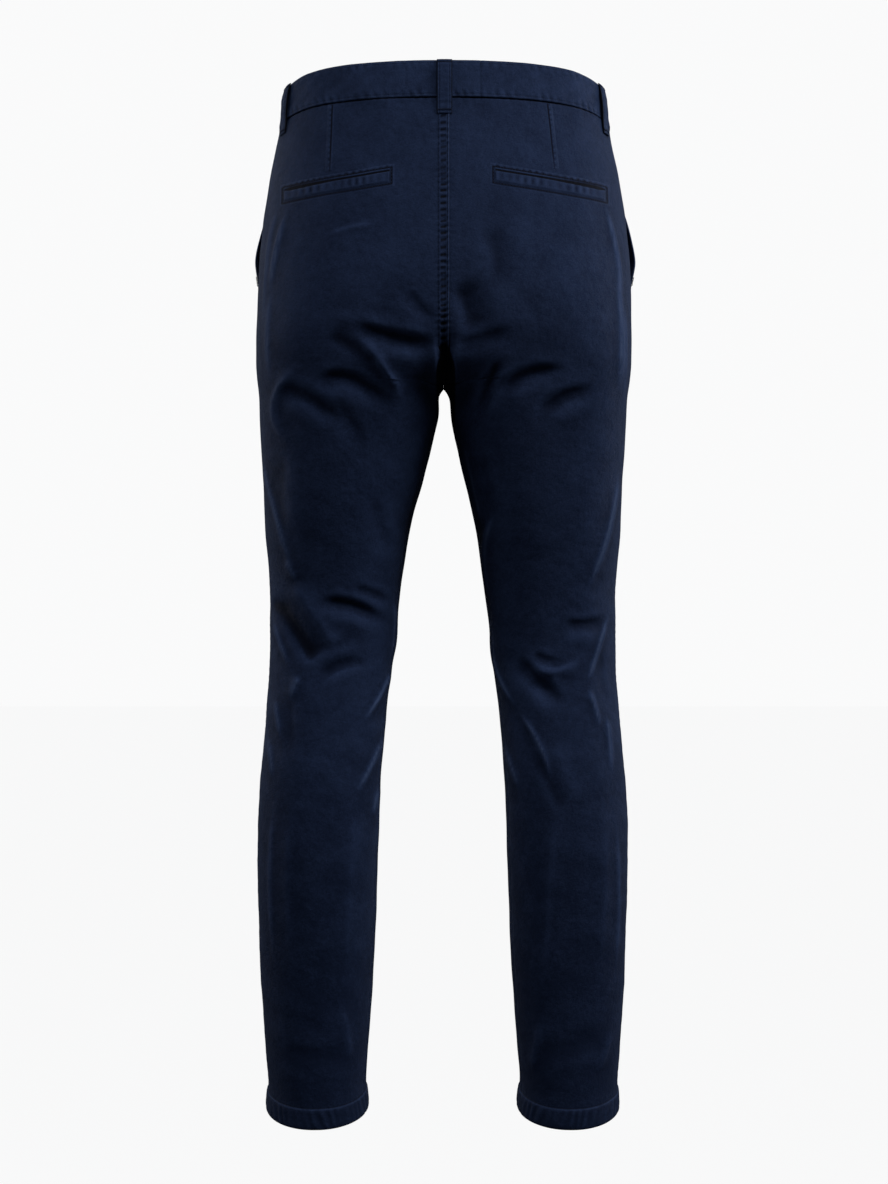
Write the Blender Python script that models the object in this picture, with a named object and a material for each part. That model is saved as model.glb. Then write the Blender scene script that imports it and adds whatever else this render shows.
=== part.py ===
"""Men's slim chino trousers in navy cotton twill, hollow and filled out as worn.

Metres, +Z up.  The front faces -Y and the wearer's left is +X.  The origin is the
middle of the waist ring.  Every height is a nominal height: the waist seam rises
towards the back and the hems drop there, which `form` adds.
"""
import math

import bmesh
import bpy
import numpy as np

COLLECTION = "chino_trousers"
CUTTERS = "cutters"

# Heights on the side seam
WAIST_TOP = 0.0188
WAIST_SEAM = -0.0167
CROTCH = -0.2810
HEM_STITCH = -0.9925
HEM = -1.0125

# Cloth
SEAM_GAP = 0.0003
CLOTH = 0.0012
HEM_CLOTH = 0.0024
WAISTBAND_CLOTH = 0.0024
WAISTBAND_PROUD = 0.0005

# Tilt of the waist and of the hems
WAIST_TILT = 0.0128
HEM_DROP = 0.0110
HEM_CURVE = 0.0025

# Each half of the garment is a rounded ring from `inner` to `outer` across and from
# `front` to `back` deep.  A negative inner reach is cut off on the centre plane.  The
# ring is deepest at `centre` across and widest at `middle` deep, and `round` is the
# exponent of its outline.
SECTION_COLUMNS = ("height", "outer", "inner", "centre", "back", "front", "middle", "round")
SECTIONS = (
    (0.0250, 0.1640, -0.1640, 0.0000, 0.1050, -0.1030, 0.0000, 2.30),
    (-0.0180, 0.1678, -0.1640, 0.0020, 0.1080, -0.1060, 0.0000, 2.30),
    (-0.0690, 0.1767, -0.1580, 0.0094, 0.1180, -0.1130, 0.0000, 2.35),
    (-0.1220, 0.1848, -0.1420, 0.0214, 0.1290, -0.1170, 0.0010, 2.40),
    (-0.1810, 0.1888, -0.1100, 0.0390, 0.1345, -0.1160, 0.0030, 2.55),
    (-0.2220, 0.1896, -0.0720, 0.0560, 0.1315, -0.1140, 0.0030, 2.75),
    (-0.2570, 0.1896, -0.0330, 0.0730, 0.1225, -0.1130, 0.0010, 2.95),
    (-0.2730, 0.1886, -0.0115, 0.0812, 0.1172, -0.1125, 0.0000, 2.95),
    (CROTCH, 0.1878, 0.0000, 0.0850, 0.1148, -0.1120, 0.0000, 2.92),
    (-0.2930, 0.1866, 0.0070, 0.0895, 0.1112, -0.1110, -0.0010, 2.85),
    (-0.3340, 0.1850, 0.0140, 0.0985, 0.1010, -0.1070, -0.0030, 2.60),
    (-0.3750, 0.1826, 0.0240, 0.1035, 0.0920, -0.1020, -0.0050, 2.45),
    (-0.4210, 0.1812, 0.0330, 0.1071, 0.0820, -0.0960, -0.0070, 2.35),
    (-0.4970, 0.1764, 0.0440, 0.1102, 0.0640, -0.0840, -0.0090, 2.30),
    (-0.5540, 0.1766, 0.0505, 0.1136, 0.0570, -0.0760, -0.0080, 2.25),
    (-0.6200, 0.1802, 0.0578, 0.1190, 0.0640, -0.0660, -0.0020, 2.20),
    (-0.6860, 0.1858, 0.0630, 0.1244, 0.0710, -0.0580, 0.0060, 2.15),
    (-0.7380, 0.1880, 0.0650, 0.1265, 0.0720, -0.0550, 0.0080, 2.15),
    (-0.8640, 0.1854, 0.0694, 0.1274, 0.0640, -0.0540, 0.0050, 2.15),
    (-0.9480, 0.1805, 0.0753, 0.1279, 0.0570, -0.0540, 0.0020, 2.15),
    (-0.9870, 0.1780, 0.0780, 0.1280, 0.0550, -0.0550, 0.0000, 2.15),
    (-1.0150, 0.1794, 0.0762, 0.1278, 0.0560, -0.0560, 0.0000, 2.15),
)
LEAN_TOP, LEAN_LEG = -0.0005, 0.0013

# Heights of the panels' rows
ROW_COLUMNS = ("start", "end", "rows")
ROW_BANDS = (
    (WAIST_SEAM - SEAM_GAP, -0.2250, 8),
    (-0.2250, -0.2660, 4),
    (-0.2660, CROTCH, 4),
    (CROTCH, -0.3000, 3),
    (-0.3000, -0.4000, 6),
    (-0.4000, -0.4900, 3),
    (-0.4900, -0.6250, 8),
    (-0.6250, -0.9600, 6),
    (-0.9600, HEM_STITCH, 1),
    (HEM_STITCH, HEM, 1),
)
BACK_COLUMNS, FRONT_COLUMNS = 13, 9
CROTCH_BLEND_START, CROTCH_BLEND_END = -0.2100, -0.3500
INSEAM_TURN, SIDE_TURN = 0.30, 0.06

# Largest folds of the back panels: a soft trough (or ridge, if it stands out) along
# a line of three points, given across and up as seen from behind.
FOLD_COLUMNS = ("x0", "z0", "x1", "z1", "x2", "z2", "width", "depth")
FOLDS = (
    (0.084, -0.224, 0.050, -0.232, 0.014, -0.240, 0.011, 0.0050),
    (0.152, -0.284, 0.120, -0.290, 0.094, -0.318, 0.011, 0.0040),
    (0.122, -0.276, 0.084, -0.278, 0.048, -0.306, 0.010, 0.0035),
    (0.152, -0.500, 0.126, -0.545, 0.098, -0.548, 0.012, 0.0060),
    (0.120, -0.496, 0.092, -0.502, 0.060, -0.520, 0.009, 0.0045),
    (0.120, -0.574, 0.104, -0.564, 0.082, -0.556, 0.011, 0.0040),
    (-0.050, -0.288, -0.082, -0.272, -0.116, -0.270, 0.011, 0.0045),
    (-0.088, -0.322, -0.112, -0.296, -0.146, -0.284, 0.011, 0.0040),
    (-0.118, -0.518, -0.138, -0.522, -0.158, -0.518, 0.010, 0.0045),
    (-0.074, -0.554, -0.096, -0.576, -0.118, -0.596, 0.012, 0.0055),
    (-0.052, -0.240, -0.048, -0.270, -0.040, -0.306, 0.008, 0.0040),
)

# Slanted front pockets: the mouth runs from the waist seam down to the side seam
MOUTH_TOP, MOUTH_END = 0.046, -0.1880
GAPE_LEFT, GAPE_RIGHT = 0.0055, 0.0070
BEARER_REACH = 0.030
UNDER, UNDER_FRONT = -0.0014, -0.0035
UNDER_CLOTH = 0.0010

# Fly shield behind the centre-front slit
SHIELD_LEFT, SHIELD_RIGHT, SHIELD_END = 0.036, -0.008, -0.1850
SHIELD_UNDER = -0.0021

# Back pocket welts, from the outer end to the end by the seat seam
WELT_COLUMNS = ("side", "x_out", "z_out", "x_in", "z_in")
WELTS = (
    (1, 0.1560, -0.0905, 0.0520, -0.0775),
    (-1, -0.1570, -0.0910, -0.0460, -0.0755),
)
WELT_HEIGHT, WELT_LIFT, WELT_CLOTH = 0.0130, 0.0004, 0.0012

# Belt loops, placed by how far round each half they sit (0 back, 0.5 side, 1 front)
LOOP_COLUMNS = ("name", "side", "around")
LOOPS = (
    ("belt_loop_back", 1, 0.0),
    ("belt_loop_side_left", 1, 0.405),
    ("belt_loop_side_right", -1, 0.405),
    ("belt_loop_front_left", 1, 0.740),
    ("belt_loop_front_right", -1, 0.740),
)
LOOP_WIDTH, LOOP_BELOW, LOOP_CLOTH = 0.0130, 0.0170, 0.0018
LOOP_STAND_COLUMNS = ("along", "stand")
LOOP_STAND = ((0.0, 0.0006), (0.15, 0.0010), (0.30, 0.0018), (0.55, 0.0028), (0.80, 0.0024), (1.0, 0.0010))

# Waistband lap and its button
LAP_END, LAP_STEP = 0.034, 0.0028
BUTTON_X, BUTTON_RADIUS, BUTTON_THICK = 0.0150, 0.0085, 0.0030
BUTTON_HOLE_RADIUS, BUTTON_HOLE_PLACE = 0.0010, 0.0019

NAVY = (0.0105, 0.0165, 0.0420, 1.0)
NAVY_DEEP = (0.0085, 0.0135, 0.0350, 1.0)
BUTTON_NAVY = (0.0060, 0.0085, 0.0190, 1.0)


def column(table, columns, name):
    """One named column of a table as an array."""
    return np.array([row[columns.index(name)] for row in table], dtype=float)


def smooth_between(x, xs, ys):
    """Cubic interpolation that never overshoots its points (falling or rising xs)."""
    order = np.argsort(xs)
    xs, ys = xs[order], ys[order]
    step = np.diff(xs)
    slope = np.diff(ys) / step
    tangent = np.zeros_like(ys)
    same = slope[:-1] * slope[1:] > 0
    near, far = 2 * step[1:] + step[:-1], step[1:] + 2 * step[:-1]
    with np.errstate(divide="ignore", invalid="ignore"):
        mean = (near + far) / (near / slope[:-1] + far / slope[1:])
    tangent[1:-1] = np.where(same, mean, 0.0)
    tangent[0], tangent[-1] = slope[0], slope[-1]
    x = np.clip(x, xs[0], xs[-1])
    i = np.clip(np.searchsorted(xs, x) - 1, 0, len(step) - 1)
    t = (x - xs[i]) / step[i]
    return ((2 * t**3 - 3 * t**2 + 1) * ys[i] + (t**3 - 2 * t**2 + t) * step[i] * tangent[i]
            + (3 * t**2 - 2 * t**3) * ys[i + 1] + (t**3 - t**2) * step[i] * tangent[i + 1])


def ease(value, start, end):
    """0 at start to 1 at end with level ends."""
    t = np.clip((value - start) / (end - start), 0.0, 1.0)
    return t * t * (3 - 2 * t)


def section(height, name):
    """A column of the section table at any height."""
    heights = column(SECTIONS, SECTION_COLUMNS, "height")
    return smooth_between(np.asarray(height, dtype=float), heights, column(SECTIONS, SECTION_COLUMNS, name))


def power(value, exponent):
    """A power that keeps the sign."""
    return np.sign(value) * np.abs(value) ** exponent


def form(height, angle, side):
    """Points of the outer cloth at nominal heights and ring angles (pi inner, 0 outer)."""
    outer, inner, centre = (section(height, name) for name in ("outer", "inner", "centre"))
    back, front, middle = (section(height, name) for name in ("back", "front", "middle"))
    exponent = 2.0 / section(height, "round")
    reach = power(np.cos(angle), exponent)
    x = centre + reach * np.where(reach > 0, outer - centre, centre - inner)
    turn = power(np.sin(angle), exponent)
    y = middle + turn * np.where(turn > 0, back - middle, middle - front)
    waist = ease(height, -0.16, WAIST_SEAM)
    hem = ease(height, -0.85, HEM)
    z = height + WAIST_TILT * turn * waist - (HEM_DROP * turn + HEM_CURVE * turn**2) * hem
    lean = LEAN_TOP + (LEAN_LEG - LEAN_TOP) * ease(height, -0.12, -0.45)
    return np.stack([side * (x + SEAM_GAP / 2) + lean, y, z], axis=-1)


def normals(height, angle, side):
    """Unit outward normals of the form."""
    du, dv = 1e-4, 1e-3
    along = form(height + du, angle, side) - form(height - du, angle, side)
    round_ = form(height, angle + dv, side) - form(height, angle - dv, side)
    out = np.cross(round_, along) * side
    return out / np.linalg.norm(out, axis=-1, keepdims=True)


def cut_angle(height):
    """Ring angle of the centre-back cut or, on the leg, of the inseam."""
    inner, centre, rounding = (float(section(height, name)) for name in ("inner", "centre", "round"))
    if inner < 0:
        return math.acos(-((centre / (centre - inner)) ** (rounding / 2)))
    turn = INSEAM_TURN * float(ease(height, CROTCH, CROTCH - 0.09))
    return math.pi - math.asin(turn ** (rounding / 2))


def side_angle(height):
    """Ring angle of the side seam."""
    return math.asin(SIDE_TURN ** (float(section(height, "round")) / 2))


def front_angle(height):
    """Ring angle of the centre-front cut or of the inseam, reached through the front."""
    cut = cut_angle(height)
    if float(section(height, "inner")) < 0:
        return -cut
    return cut - 2 * math.pi


def arc(height, start, end):
    """Ring angles from start to end and the length of arc up to each."""
    dense = np.linspace(start, end, 1500)
    points = form(np.full_like(dense, height), dense, 1)
    return dense, np.concatenate([[0], np.cumsum(np.linalg.norm(np.diff(points, axis=0), axis=1))])


def spread(height, start, end, count, trim_start, trim_end):
    """Ring angles at even lengths of arc from start to end, after the trims."""
    dense, length = arc(height, start, end)
    wanted = np.linspace(trim_start, length[-1] - trim_end, count)
    return np.interp(wanted, length, dense)


def panel_angles(height, inner_end, count, trim_side, trim_inner):
    """Ring angles of a panel's row from the side seam to its inner edge.  Near the
    crotch the row grows fast, and the columns by the inner edge take up the growth."""
    dense, length = arc(height, side_angle(height), inner_end(height))
    steady = length[-1]
    if CROTCH_BLEND_END < height < CROTCH_BLEND_START:
        ends = (CROTCH_BLEND_START, CROTCH_BLEND_END)
        whole = [arc(h, side_angle(h), inner_end(h))[1][-1] for h in ends]
        steady = np.interp(height, ends[::-1], whole[::-1])
    share = np.linspace(0, 1, count)
    wanted = steady * share + (length[-1] - steady) * share**5
    wanted = trim_side + wanted / length[-1] * (length[-1] - trim_side - trim_inner)
    return np.interp(wanted, length, dense)


def row_heights():
    """Nominal heights of the panels' rows from the waist seam to the hem."""
    heights = [np.linspace(start, end, rows + 1)[:-1] for start, end, rows in ROW_BANDS]
    return np.concatenate(heights + [[HEM]])


def fold_depth(points, edge):
    """How far the folds push the cloth in, faded out towards the panel's seams."""
    depth = np.zeros(points.shape[:-1])
    for row in FOLDS:
        fold = dict(zip(FOLD_COLUMNS, row))
        line = np.array([(fold["x0"], fold["z0"]), (fold["x1"], fold["z1"]), (fold["x2"], fold["z2"])])
        flat = points[..., [0, 2]]
        nearest = np.full(depth.shape, 1.0)
        for start, end in zip(line[:-1], line[1:]):
            t = np.clip(((flat - start) @ (end - start)) / ((end - start) @ (end - start)), 0, 1)
            nearest = np.minimum(nearest, np.linalg.norm(flat - start - t[..., None] * (end - start), axis=-1))
        depth = np.maximum(depth, fold["depth"] * np.exp(-((nearest / fold["width"]) ** 2)))
    return depth * ease(edge, 0.0, 0.022)


def clear_scene():
    """Remove every object and the collections that held them."""
    for obj in list(bpy.data.objects):
        bpy.data.objects.remove(obj, do_unlink=True)
    for group in list(bpy.data.collections):
        bpy.data.collections.remove(group)


def collection(name):
    """A new collection in the scene."""
    group = bpy.data.collections.new(name)
    bpy.context.scene.collection.children.link(group)
    return group


def material(name, colour, roughness):
    """A plain Principled material."""
    made = bpy.data.materials.new(name)
    made.use_nodes = True
    shader = made.node_tree.nodes["Principled BSDF"]
    shader.inputs["Base Color"].default_value = colour
    shader.inputs["Roughness"].default_value = roughness
    shader.inputs["Metallic"].default_value = 0.0
    return made


def add_object(name, vertices, faces, finish):
    """A smooth-shaded mesh object in the garment's collection, faces turned outwards."""
    mesh = bpy.data.meshes.new(name)
    mesh.from_pydata([tuple(v) for v in vertices], [], faces)
    shape = bmesh.new()
    shape.from_mesh(mesh)
    if shape.calc_volume(signed=True) < 0:
        bmesh.ops.reverse_faces(shape, faces=shape.faces[:])
    shape.to_mesh(mesh)
    shape.free()
    mesh.polygons.foreach_set("use_smooth", [True] * len(mesh.polygons))
    mesh.materials.append(finish)
    obj = bpy.data.objects.new(name, mesh)
    bpy.data.collections[COLLECTION].objects.link(obj)
    return obj


def wall(name, outer, inner, finish):
    """A closed wall between an outer and an inner grid of the same size."""
    rows, columns = outer.shape[:2]
    index = np.arange(rows * columns).reshape(rows, columns)
    count = rows * columns
    quads = np.stack([index[:-1, :-1], index[:-1, 1:], index[1:, 1:], index[1:, :-1]], axis=-1).reshape(-1, 4)
    rim = np.concatenate([index[0, :], index[1:, -1], index[-1, -2::-1], index[-2:0:-1, 0]])
    after = np.roll(rim, -1)
    sides = np.stack([after, rim, rim + count, after + count], axis=-1)
    faces = np.concatenate([quads, quads[:, ::-1] + count, sides])
    vertices = np.concatenate([outer.reshape(-1, 3), inner.reshape(-1, 3)])
    return add_object(name, vertices, faces.tolist(), finish)


def layered(name, points, out, top, thickness, finish):
    """A wall whose outer layer stands `top` off the form and is `thickness` thick."""
    top = np.broadcast_to(top, points.shape[:2])[..., None]
    thickness = np.broadcast_to(thickness, points.shape[:2])[..., None]
    return wall(name, points + out * top, points + out * (top - thickness), finish)


def panel_thickness(heights):
    """Single cloth down to the hem stitching, then the turned-up hem."""
    return np.where(heights <= HEM_STITCH + 1e-6, HEM_CLOTH, CLOTH)[:, None]


def back_panel(name, side, finish):
    """A back panel from the side seam round to the seat seam and inseam."""
    heights = row_heights()
    angles = np.array([
        panel_angles(h, cut_angle, BACK_COLUMNS, SEAM_GAP / 2, inner_trim(h)) for h in heights
    ])
    levels = np.repeat(heights[:, None], BACK_COLUMNS, axis=1)
    points, out = form(levels, angles, side), normals(levels, angles, side)
    edge = edge_distance(points)
    return layered(name, points, out, -fold_depth(points, edge), panel_thickness(heights), finish)


def inner_trim(height):
    """The inseam is trimmed; the centre seams are parted by the form itself."""
    return 0.0 if height > CROTCH + 1e-6 else SEAM_GAP / 2


def edge_distance(points):
    """Length of arc to the nearer end of each row."""
    step = np.linalg.norm(np.diff(points, axis=1), axis=-1)
    run = np.concatenate([np.zeros((len(points), 1)), np.cumsum(step, axis=1)], axis=1)
    return np.minimum(run, run[:, -1:] - run)


def mouth_inset(height):
    """Length of arc from the side seam forward to the slanted pocket mouth."""
    return MOUTH_TOP * float(np.clip((height - MOUTH_END) / (WAIST_SEAM - MOUTH_END), 0, 1))


def front_panel(name, side, finish):
    """A front panel from the pocket mouth or side seam round to the centre front."""
    heights = row_heights()
    angles = np.array([
        panel_angles(h, front_angle, FRONT_COLUMNS, SEAM_GAP / 2 + mouth_inset(h), inner_trim(h))
        for h in heights
    ])
    levels = np.repeat(heights[:, None], FRONT_COLUMNS, axis=1)
    points, out = form(levels, angles, side), normals(levels, angles, side)
    gape = GAPE_LEFT if side > 0 else GAPE_RIGHT
    start = -0.090 if side > 0 else -0.065
    swell = np.where(heights > -0.150, ease(heights, start, -0.150), ease(heights, MOUTH_END, -0.150))
    step = np.linalg.norm(np.diff(points, axis=1), axis=-1)
    run = np.concatenate([np.zeros((len(points), 1)), np.cumsum(step, axis=1)], axis=1)
    lift = gape * swell[:, None] * np.exp(-((run / 0.024) ** 2))
    return layered(name, points, out, lift, panel_thickness(heights), finish)


def pocket_bearer(name, side, finish):
    """The hip piece that shows behind the slanted pocket mouth."""
    heights = np.linspace(WAIST_SEAM - SEAM_GAP, MOUTH_END - 0.010, 9)
    reach = [SEAM_GAP / 2 + mouth_inset(h) + BEARER_REACH for h in heights]
    angles = []
    for h, length in zip(heights, reach):
        dense = spread(h, side_angle(h), front_angle(h), 400, 0, 0)
        points = form(np.full(400, h), dense, side)
        run = np.concatenate([[0], np.cumsum(np.linalg.norm(np.diff(points, axis=0), axis=1))])
        angles.append(np.interp(np.linspace(SEAM_GAP / 2, length, 6), run, dense))
    angles = np.array(angles)
    levels = np.repeat(heights[:, None], 6, axis=1)
    points, out = form(levels, angles, side), normals(levels, angles, side)
    covered = np.array([np.linspace(0, length, 6) - mouth_inset(h) for h, length in zip(heights, reach)])
    under = UNDER + (UNDER_FRONT - UNDER) * ease(covered, -0.012, 0.002)
    return layered(name, points, out, under, UNDER_CLOTH, finish)


def front_angle_at(height, x):
    """Ring angle on the front of a half at a distance across."""
    outer, inner, centre = (float(section(height, name)) for name in ("outer", "inner", "centre"))
    half = outer - centre if x > centre else centre - inner
    return -math.acos(float(power((x - centre) / half, float(section(height, "round")) / 2)))


def back_angle_at(height, x):
    """Ring angle on the back at a distance across."""
    return -front_angle_at(height, x)


def fly_shield(finish):
    """The strip behind the centre-front slit, rounded at its lower end."""
    heights = np.linspace(WAIST_SEAM - SEAM_GAP, SHIELD_END, 9)
    narrow = 1 - 0.55 * ease(heights, -0.145, SHIELD_END) ** 2
    grid = []
    for h, share in zip(heights, narrow):
        across = SHIELD_RIGHT + (SHIELD_LEFT - SHIELD_RIGHT) * share * np.linspace(0, 1, 5)
        grid.append([front_point(h, x) for x in across])
    points = np.array([[p for p, _ in row] for row in grid])
    out = np.array([[n for _, n in row] for row in grid])
    return layered("fly_shield", points, out, SHIELD_UNDER, UNDER_CLOTH, finish)


def front_point(height, x):
    """Point and normal of the front at a distance across, either side of the centre."""
    side = 1 if x >= 0 else -1
    angle = np.array([front_angle_at(height, abs(x))])
    level = np.array([height])
    return form(level, angle, side)[0], normals(level, angle, side)[0]


def waist_run():
    """Side, ring angle and lap of the waistband's columns, from the under end at the
    front, round the wearer's right, the back and the left, to the upper end."""
    level = (WAIST_TOP + WAIST_SEAM) / 2
    stops = np.linspace(0.0, 1.0, 25)
    reach = spread(level, front_angle(level), cut_angle(level), 25, 0, 0)
    under = [(1, front_angle_at(level, x), -LAP_STEP) for x in (LAP_END, LAP_END * 2 / 3, LAP_END / 3)]
    right = [(-1, a, -LAP_STEP * float(1 - ease(s * 0.44, 0.004, 0.045))) for a, s in zip(reach, stops)]
    left = [(1, a, 0.0) for a in reach[::-1]]
    return under + right[:-1] + left


def waistband(finish):
    """The doubled band round the waist, lapped left over right at the front."""
    run = waist_run()
    levels = np.linspace(WAIST_TOP, WAIST_SEAM, 3)
    points, out = [], []
    for h in levels:
        row = [(form(np.array([h]), np.array([a]), s)[0], normals(np.array([h]), np.array([a]), s)[0])
               for s, a, _ in run]
        points.append([p for p, _ in row])
        out.append([n for _, n in row])
    stand = np.array([WAISTBAND_PROUD + lap for _, _, lap in run])[None, :]
    return layered("waistband", np.array(points), np.array(out), stand, WAISTBAND_CLOTH, finish)


def back_welt(name, row, finish):
    """The folded strip along a back pocket, following the panel."""
    welt = dict(zip(WELT_COLUMNS, row))
    side = welt["side"]
    along = np.linspace(0, 1, 20)
    points, out = [], []
    for drop in (0.0, -WELT_HEIGHT / 2, -WELT_HEIGHT):
        x = welt["x_out"] + (welt["x_in"] - welt["x_out"]) * along
        z = welt["z_out"] + (welt["z_in"] - welt["z_out"]) * along + drop
        level = z.copy()
        for _ in range(8):
            angle = np.array([back_angle_at(h, abs(v)) for h, v in zip(level, x)])
            level += z - form(level, angle, side)[:, 2]
        points.append(form(level, angle, side))
        out.append(normals(level, angle, side))
    return layered(name, np.array(points), np.array(out), WELT_LIFT + WELT_CLOTH, WELT_CLOTH, finish)


def belt_loop(name, side, around, finish):
    """A folded strip standing a little off the waistband, sewn down at both ends."""
    stand_at = column(LOOP_STAND, LOOP_STAND_COLUMNS, "along")
    stand = column(LOOP_STAND, LOOP_STAND_COLUMNS, "stand")
    heights = WAIST_SEAM - LOOP_BELOW + (WAIST_TOP - WAIST_SEAM + LOOP_BELOW) * stand_at
    level = (WAIST_TOP + WAIST_SEAM) / 2
    reach = spread(level, cut_angle(level), front_angle(level), 201, 0, 0)
    middle = reach[int(round(around * 200))]
    points, out = [], []
    for h in heights:
        row = [loop_point(h, middle, offset, side) for offset in np.linspace(-LOOP_WIDTH, LOOP_WIDTH, 3) / 2]
        points.append([p for p, _ in row])
        out.append([n for _, n in row])
    top = (stand + LOOP_CLOTH)[:, None]
    return layered(name, np.array(points), np.array(out), top, LOOP_CLOTH, finish)


def loop_point(height, middle, offset, side):
    """Point and normal a length of arc away from a ring angle, across the centre back too."""
    if middle > cut_angle(height) - 1e-3:
        side, middle, offset = (1, cut_angle(height), offset) if offset >= 0 else (-1, cut_angle(height), -offset)
    level = np.array([height])
    angle = np.array([middle])
    per_turn = np.linalg.norm(form(level, angle - 1e-3, side) - form(level, angle, side)) / 1e-3
    angle = angle - offset / per_turn
    return form(level, angle, side)[0], normals(level, angle, side)[0]


def waist_button(finish):
    """A rimmed four-hole button on the upper end of the band."""
    level = (WAIST_TOP + WAIST_SEAM) / 2
    centre, out = front_point(level, BUTTON_X)
    profile = (
        (0.0, 0.0), (0.0070, 0.0), (BUTTON_RADIUS, 0.0010), (BUTTON_RADIUS, 0.0022),
        (0.0076, BUTTON_THICK), (0.0060, 0.0024), (0.0, 0.0020),
    )
    count = 20
    turn = np.arange(count) * 2 * math.pi / count
    rings = [[(r * math.cos(t), h, r * math.sin(t)) for t in turn] for r, h in profile[1:-1]]
    vertices = [(0.0, profile[0][1], 0.0)] + [p for ring in rings for p in ring] + [(0.0, profile[-1][1], 0.0)]
    faces = [(0, 1 + (i + 1) % count, 1 + i) for i in range(count)]
    for r in range(len(rings) - 1):
        base = 1 + r * count
        faces += [(base + i, base + (i + 1) % count, base + count + (i + 1) % count, base + count + i)
                  for i in range(count)]
    base, last = 1 + (len(rings) - 1) * count, len(vertices) - 1
    faces += [(base + i, base + (i + 1) % count, last) for i in range(count)]
    frame = np.stack([np.cross(out, (0, 0, 1)), out, (0, 0, 1)])
    frame /= np.linalg.norm(frame, axis=1, keepdims=True)
    frame[2] = np.cross(frame[0], frame[1])
    seat = centre + out * (WAISTBAND_PROUD + SEAM_GAP)
    button = add_object("waist_button", np.array(vertices) @ frame + seat, faces, finish)
    drill_holes(button, seat, frame)
    return button


def drill_holes(button, seat, frame):
    """Drill the button's four thread holes with one cutter of four rods."""
    count = 8
    turn = np.arange(count) * 2 * math.pi / count
    vertices, faces = [], []
    for across in (-1, 1):
        for up in (-1, 1):
            base = len(vertices)
            for depth in (-0.001, BUTTON_THICK + 0.001):
                vertices += [(across * BUTTON_HOLE_PLACE + BUTTON_HOLE_RADIUS * math.cos(t), depth,
                              up * BUTTON_HOLE_PLACE + BUTTON_HOLE_RADIUS * math.sin(t)) for t in turn]
            faces += [(base + i, base + (i + 1) % count, base + count + (i + 1) % count, base + count + i)
                      for i in range(count)]
            faces += [tuple(base + i for i in range(count))[::-1], tuple(base + count + i for i in range(count))]
    mesh = bpy.data.meshes.new("button_holes")
    mesh.from_pydata([tuple(v) for v in np.array(vertices) @ frame + seat], [], faces)
    shape = bmesh.new()
    shape.from_mesh(mesh)
    bmesh.ops.recalc_face_normals(shape, faces=shape.faces[:])
    shape.to_mesh(mesh)
    shape.free()
    cutter = bpy.data.objects.new("button_holes", mesh)
    cutter.hide_render = True
    cutter.display_type = "WIRE"
    bpy.data.collections[CUTTERS].objects.link(cutter)
    cut = button.modifiers.new("holes", "BOOLEAN")
    cut.operation = "DIFFERENCE"
    cut.solver = "EXACT"
    cut.object = cutter


def main():
    clear_scene()
    collection(COLLECTION)
    collection(CUTTERS)
    twill = {name: material(name, NAVY, 0.85) for name in (
        "back_left_twill", "back_right_twill", "front_left_twill", "front_right_twill",
        "bearer_left_twill", "bearer_right_twill", "waistband_twill", "shield_twill",
    )}
    back_panel("back_left", 1, twill["back_left_twill"])
    back_panel("back_right", -1, twill["back_right_twill"])
    front_panel("front_left", 1, twill["front_left_twill"])
    front_panel("front_right", -1, twill["front_right_twill"])
    pocket_bearer("pocket_bearer_left", 1, twill["bearer_left_twill"])
    pocket_bearer("pocket_bearer_right", -1, twill["bearer_right_twill"])
    waistband(twill["waistband_twill"])
    fly_shield(twill["shield_twill"])
    for row in WELTS:
        name = "back_welt_left" if row[0] > 0 else "back_welt_right"
        back_welt(name, row, material(name + "_twill", NAVY_DEEP, 0.85))
    for name, side, around in LOOPS:
        belt_loop(name, side, around, material(name + "_twill", NAVY, 0.85))
    waist_button(material("button_resin", BUTTON_NAVY, 0.40))


if __name__ == "__main__":
    main()
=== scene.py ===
"""The looks of a pair of men's slim chino trousers in washed navy cotton twill.

Every piece of cloth is a surface of two parameters, a nominal height and an angle
round a leg's ring, worked out on a grid from the garment's sections, pushed in and
out by a table of creases, and closed with an inner layer.  Seams, welts, loops, hems
and stitches are profiles carried along paths on that surface.
"""

import math

import bpy
import numpy as np
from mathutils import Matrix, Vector


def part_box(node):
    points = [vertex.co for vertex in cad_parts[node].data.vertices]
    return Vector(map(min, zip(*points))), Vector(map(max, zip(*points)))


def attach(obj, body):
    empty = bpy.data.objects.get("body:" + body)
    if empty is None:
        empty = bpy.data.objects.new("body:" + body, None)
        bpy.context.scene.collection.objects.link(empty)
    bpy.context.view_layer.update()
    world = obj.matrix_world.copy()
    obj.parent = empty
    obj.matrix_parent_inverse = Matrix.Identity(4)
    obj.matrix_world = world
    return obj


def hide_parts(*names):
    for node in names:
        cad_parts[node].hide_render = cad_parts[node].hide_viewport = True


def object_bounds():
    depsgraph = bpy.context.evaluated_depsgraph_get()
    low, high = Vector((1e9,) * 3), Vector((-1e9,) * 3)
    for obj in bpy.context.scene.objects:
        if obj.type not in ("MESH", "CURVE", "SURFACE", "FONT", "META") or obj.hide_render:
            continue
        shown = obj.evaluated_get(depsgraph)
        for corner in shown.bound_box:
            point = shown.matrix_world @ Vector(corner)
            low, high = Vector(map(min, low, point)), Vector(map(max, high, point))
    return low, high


bl_info = {
    "name": "Chino trousers",
    "version": (1, 0, 0),
    "blender": (4, 5, 0),
    "location": "3D View > Sidebar > Chinos",
    "description": "Dresses the chino trousers' solids in creased, stitched cotton twill",
    "category": "Add Mesh",
}

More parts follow.
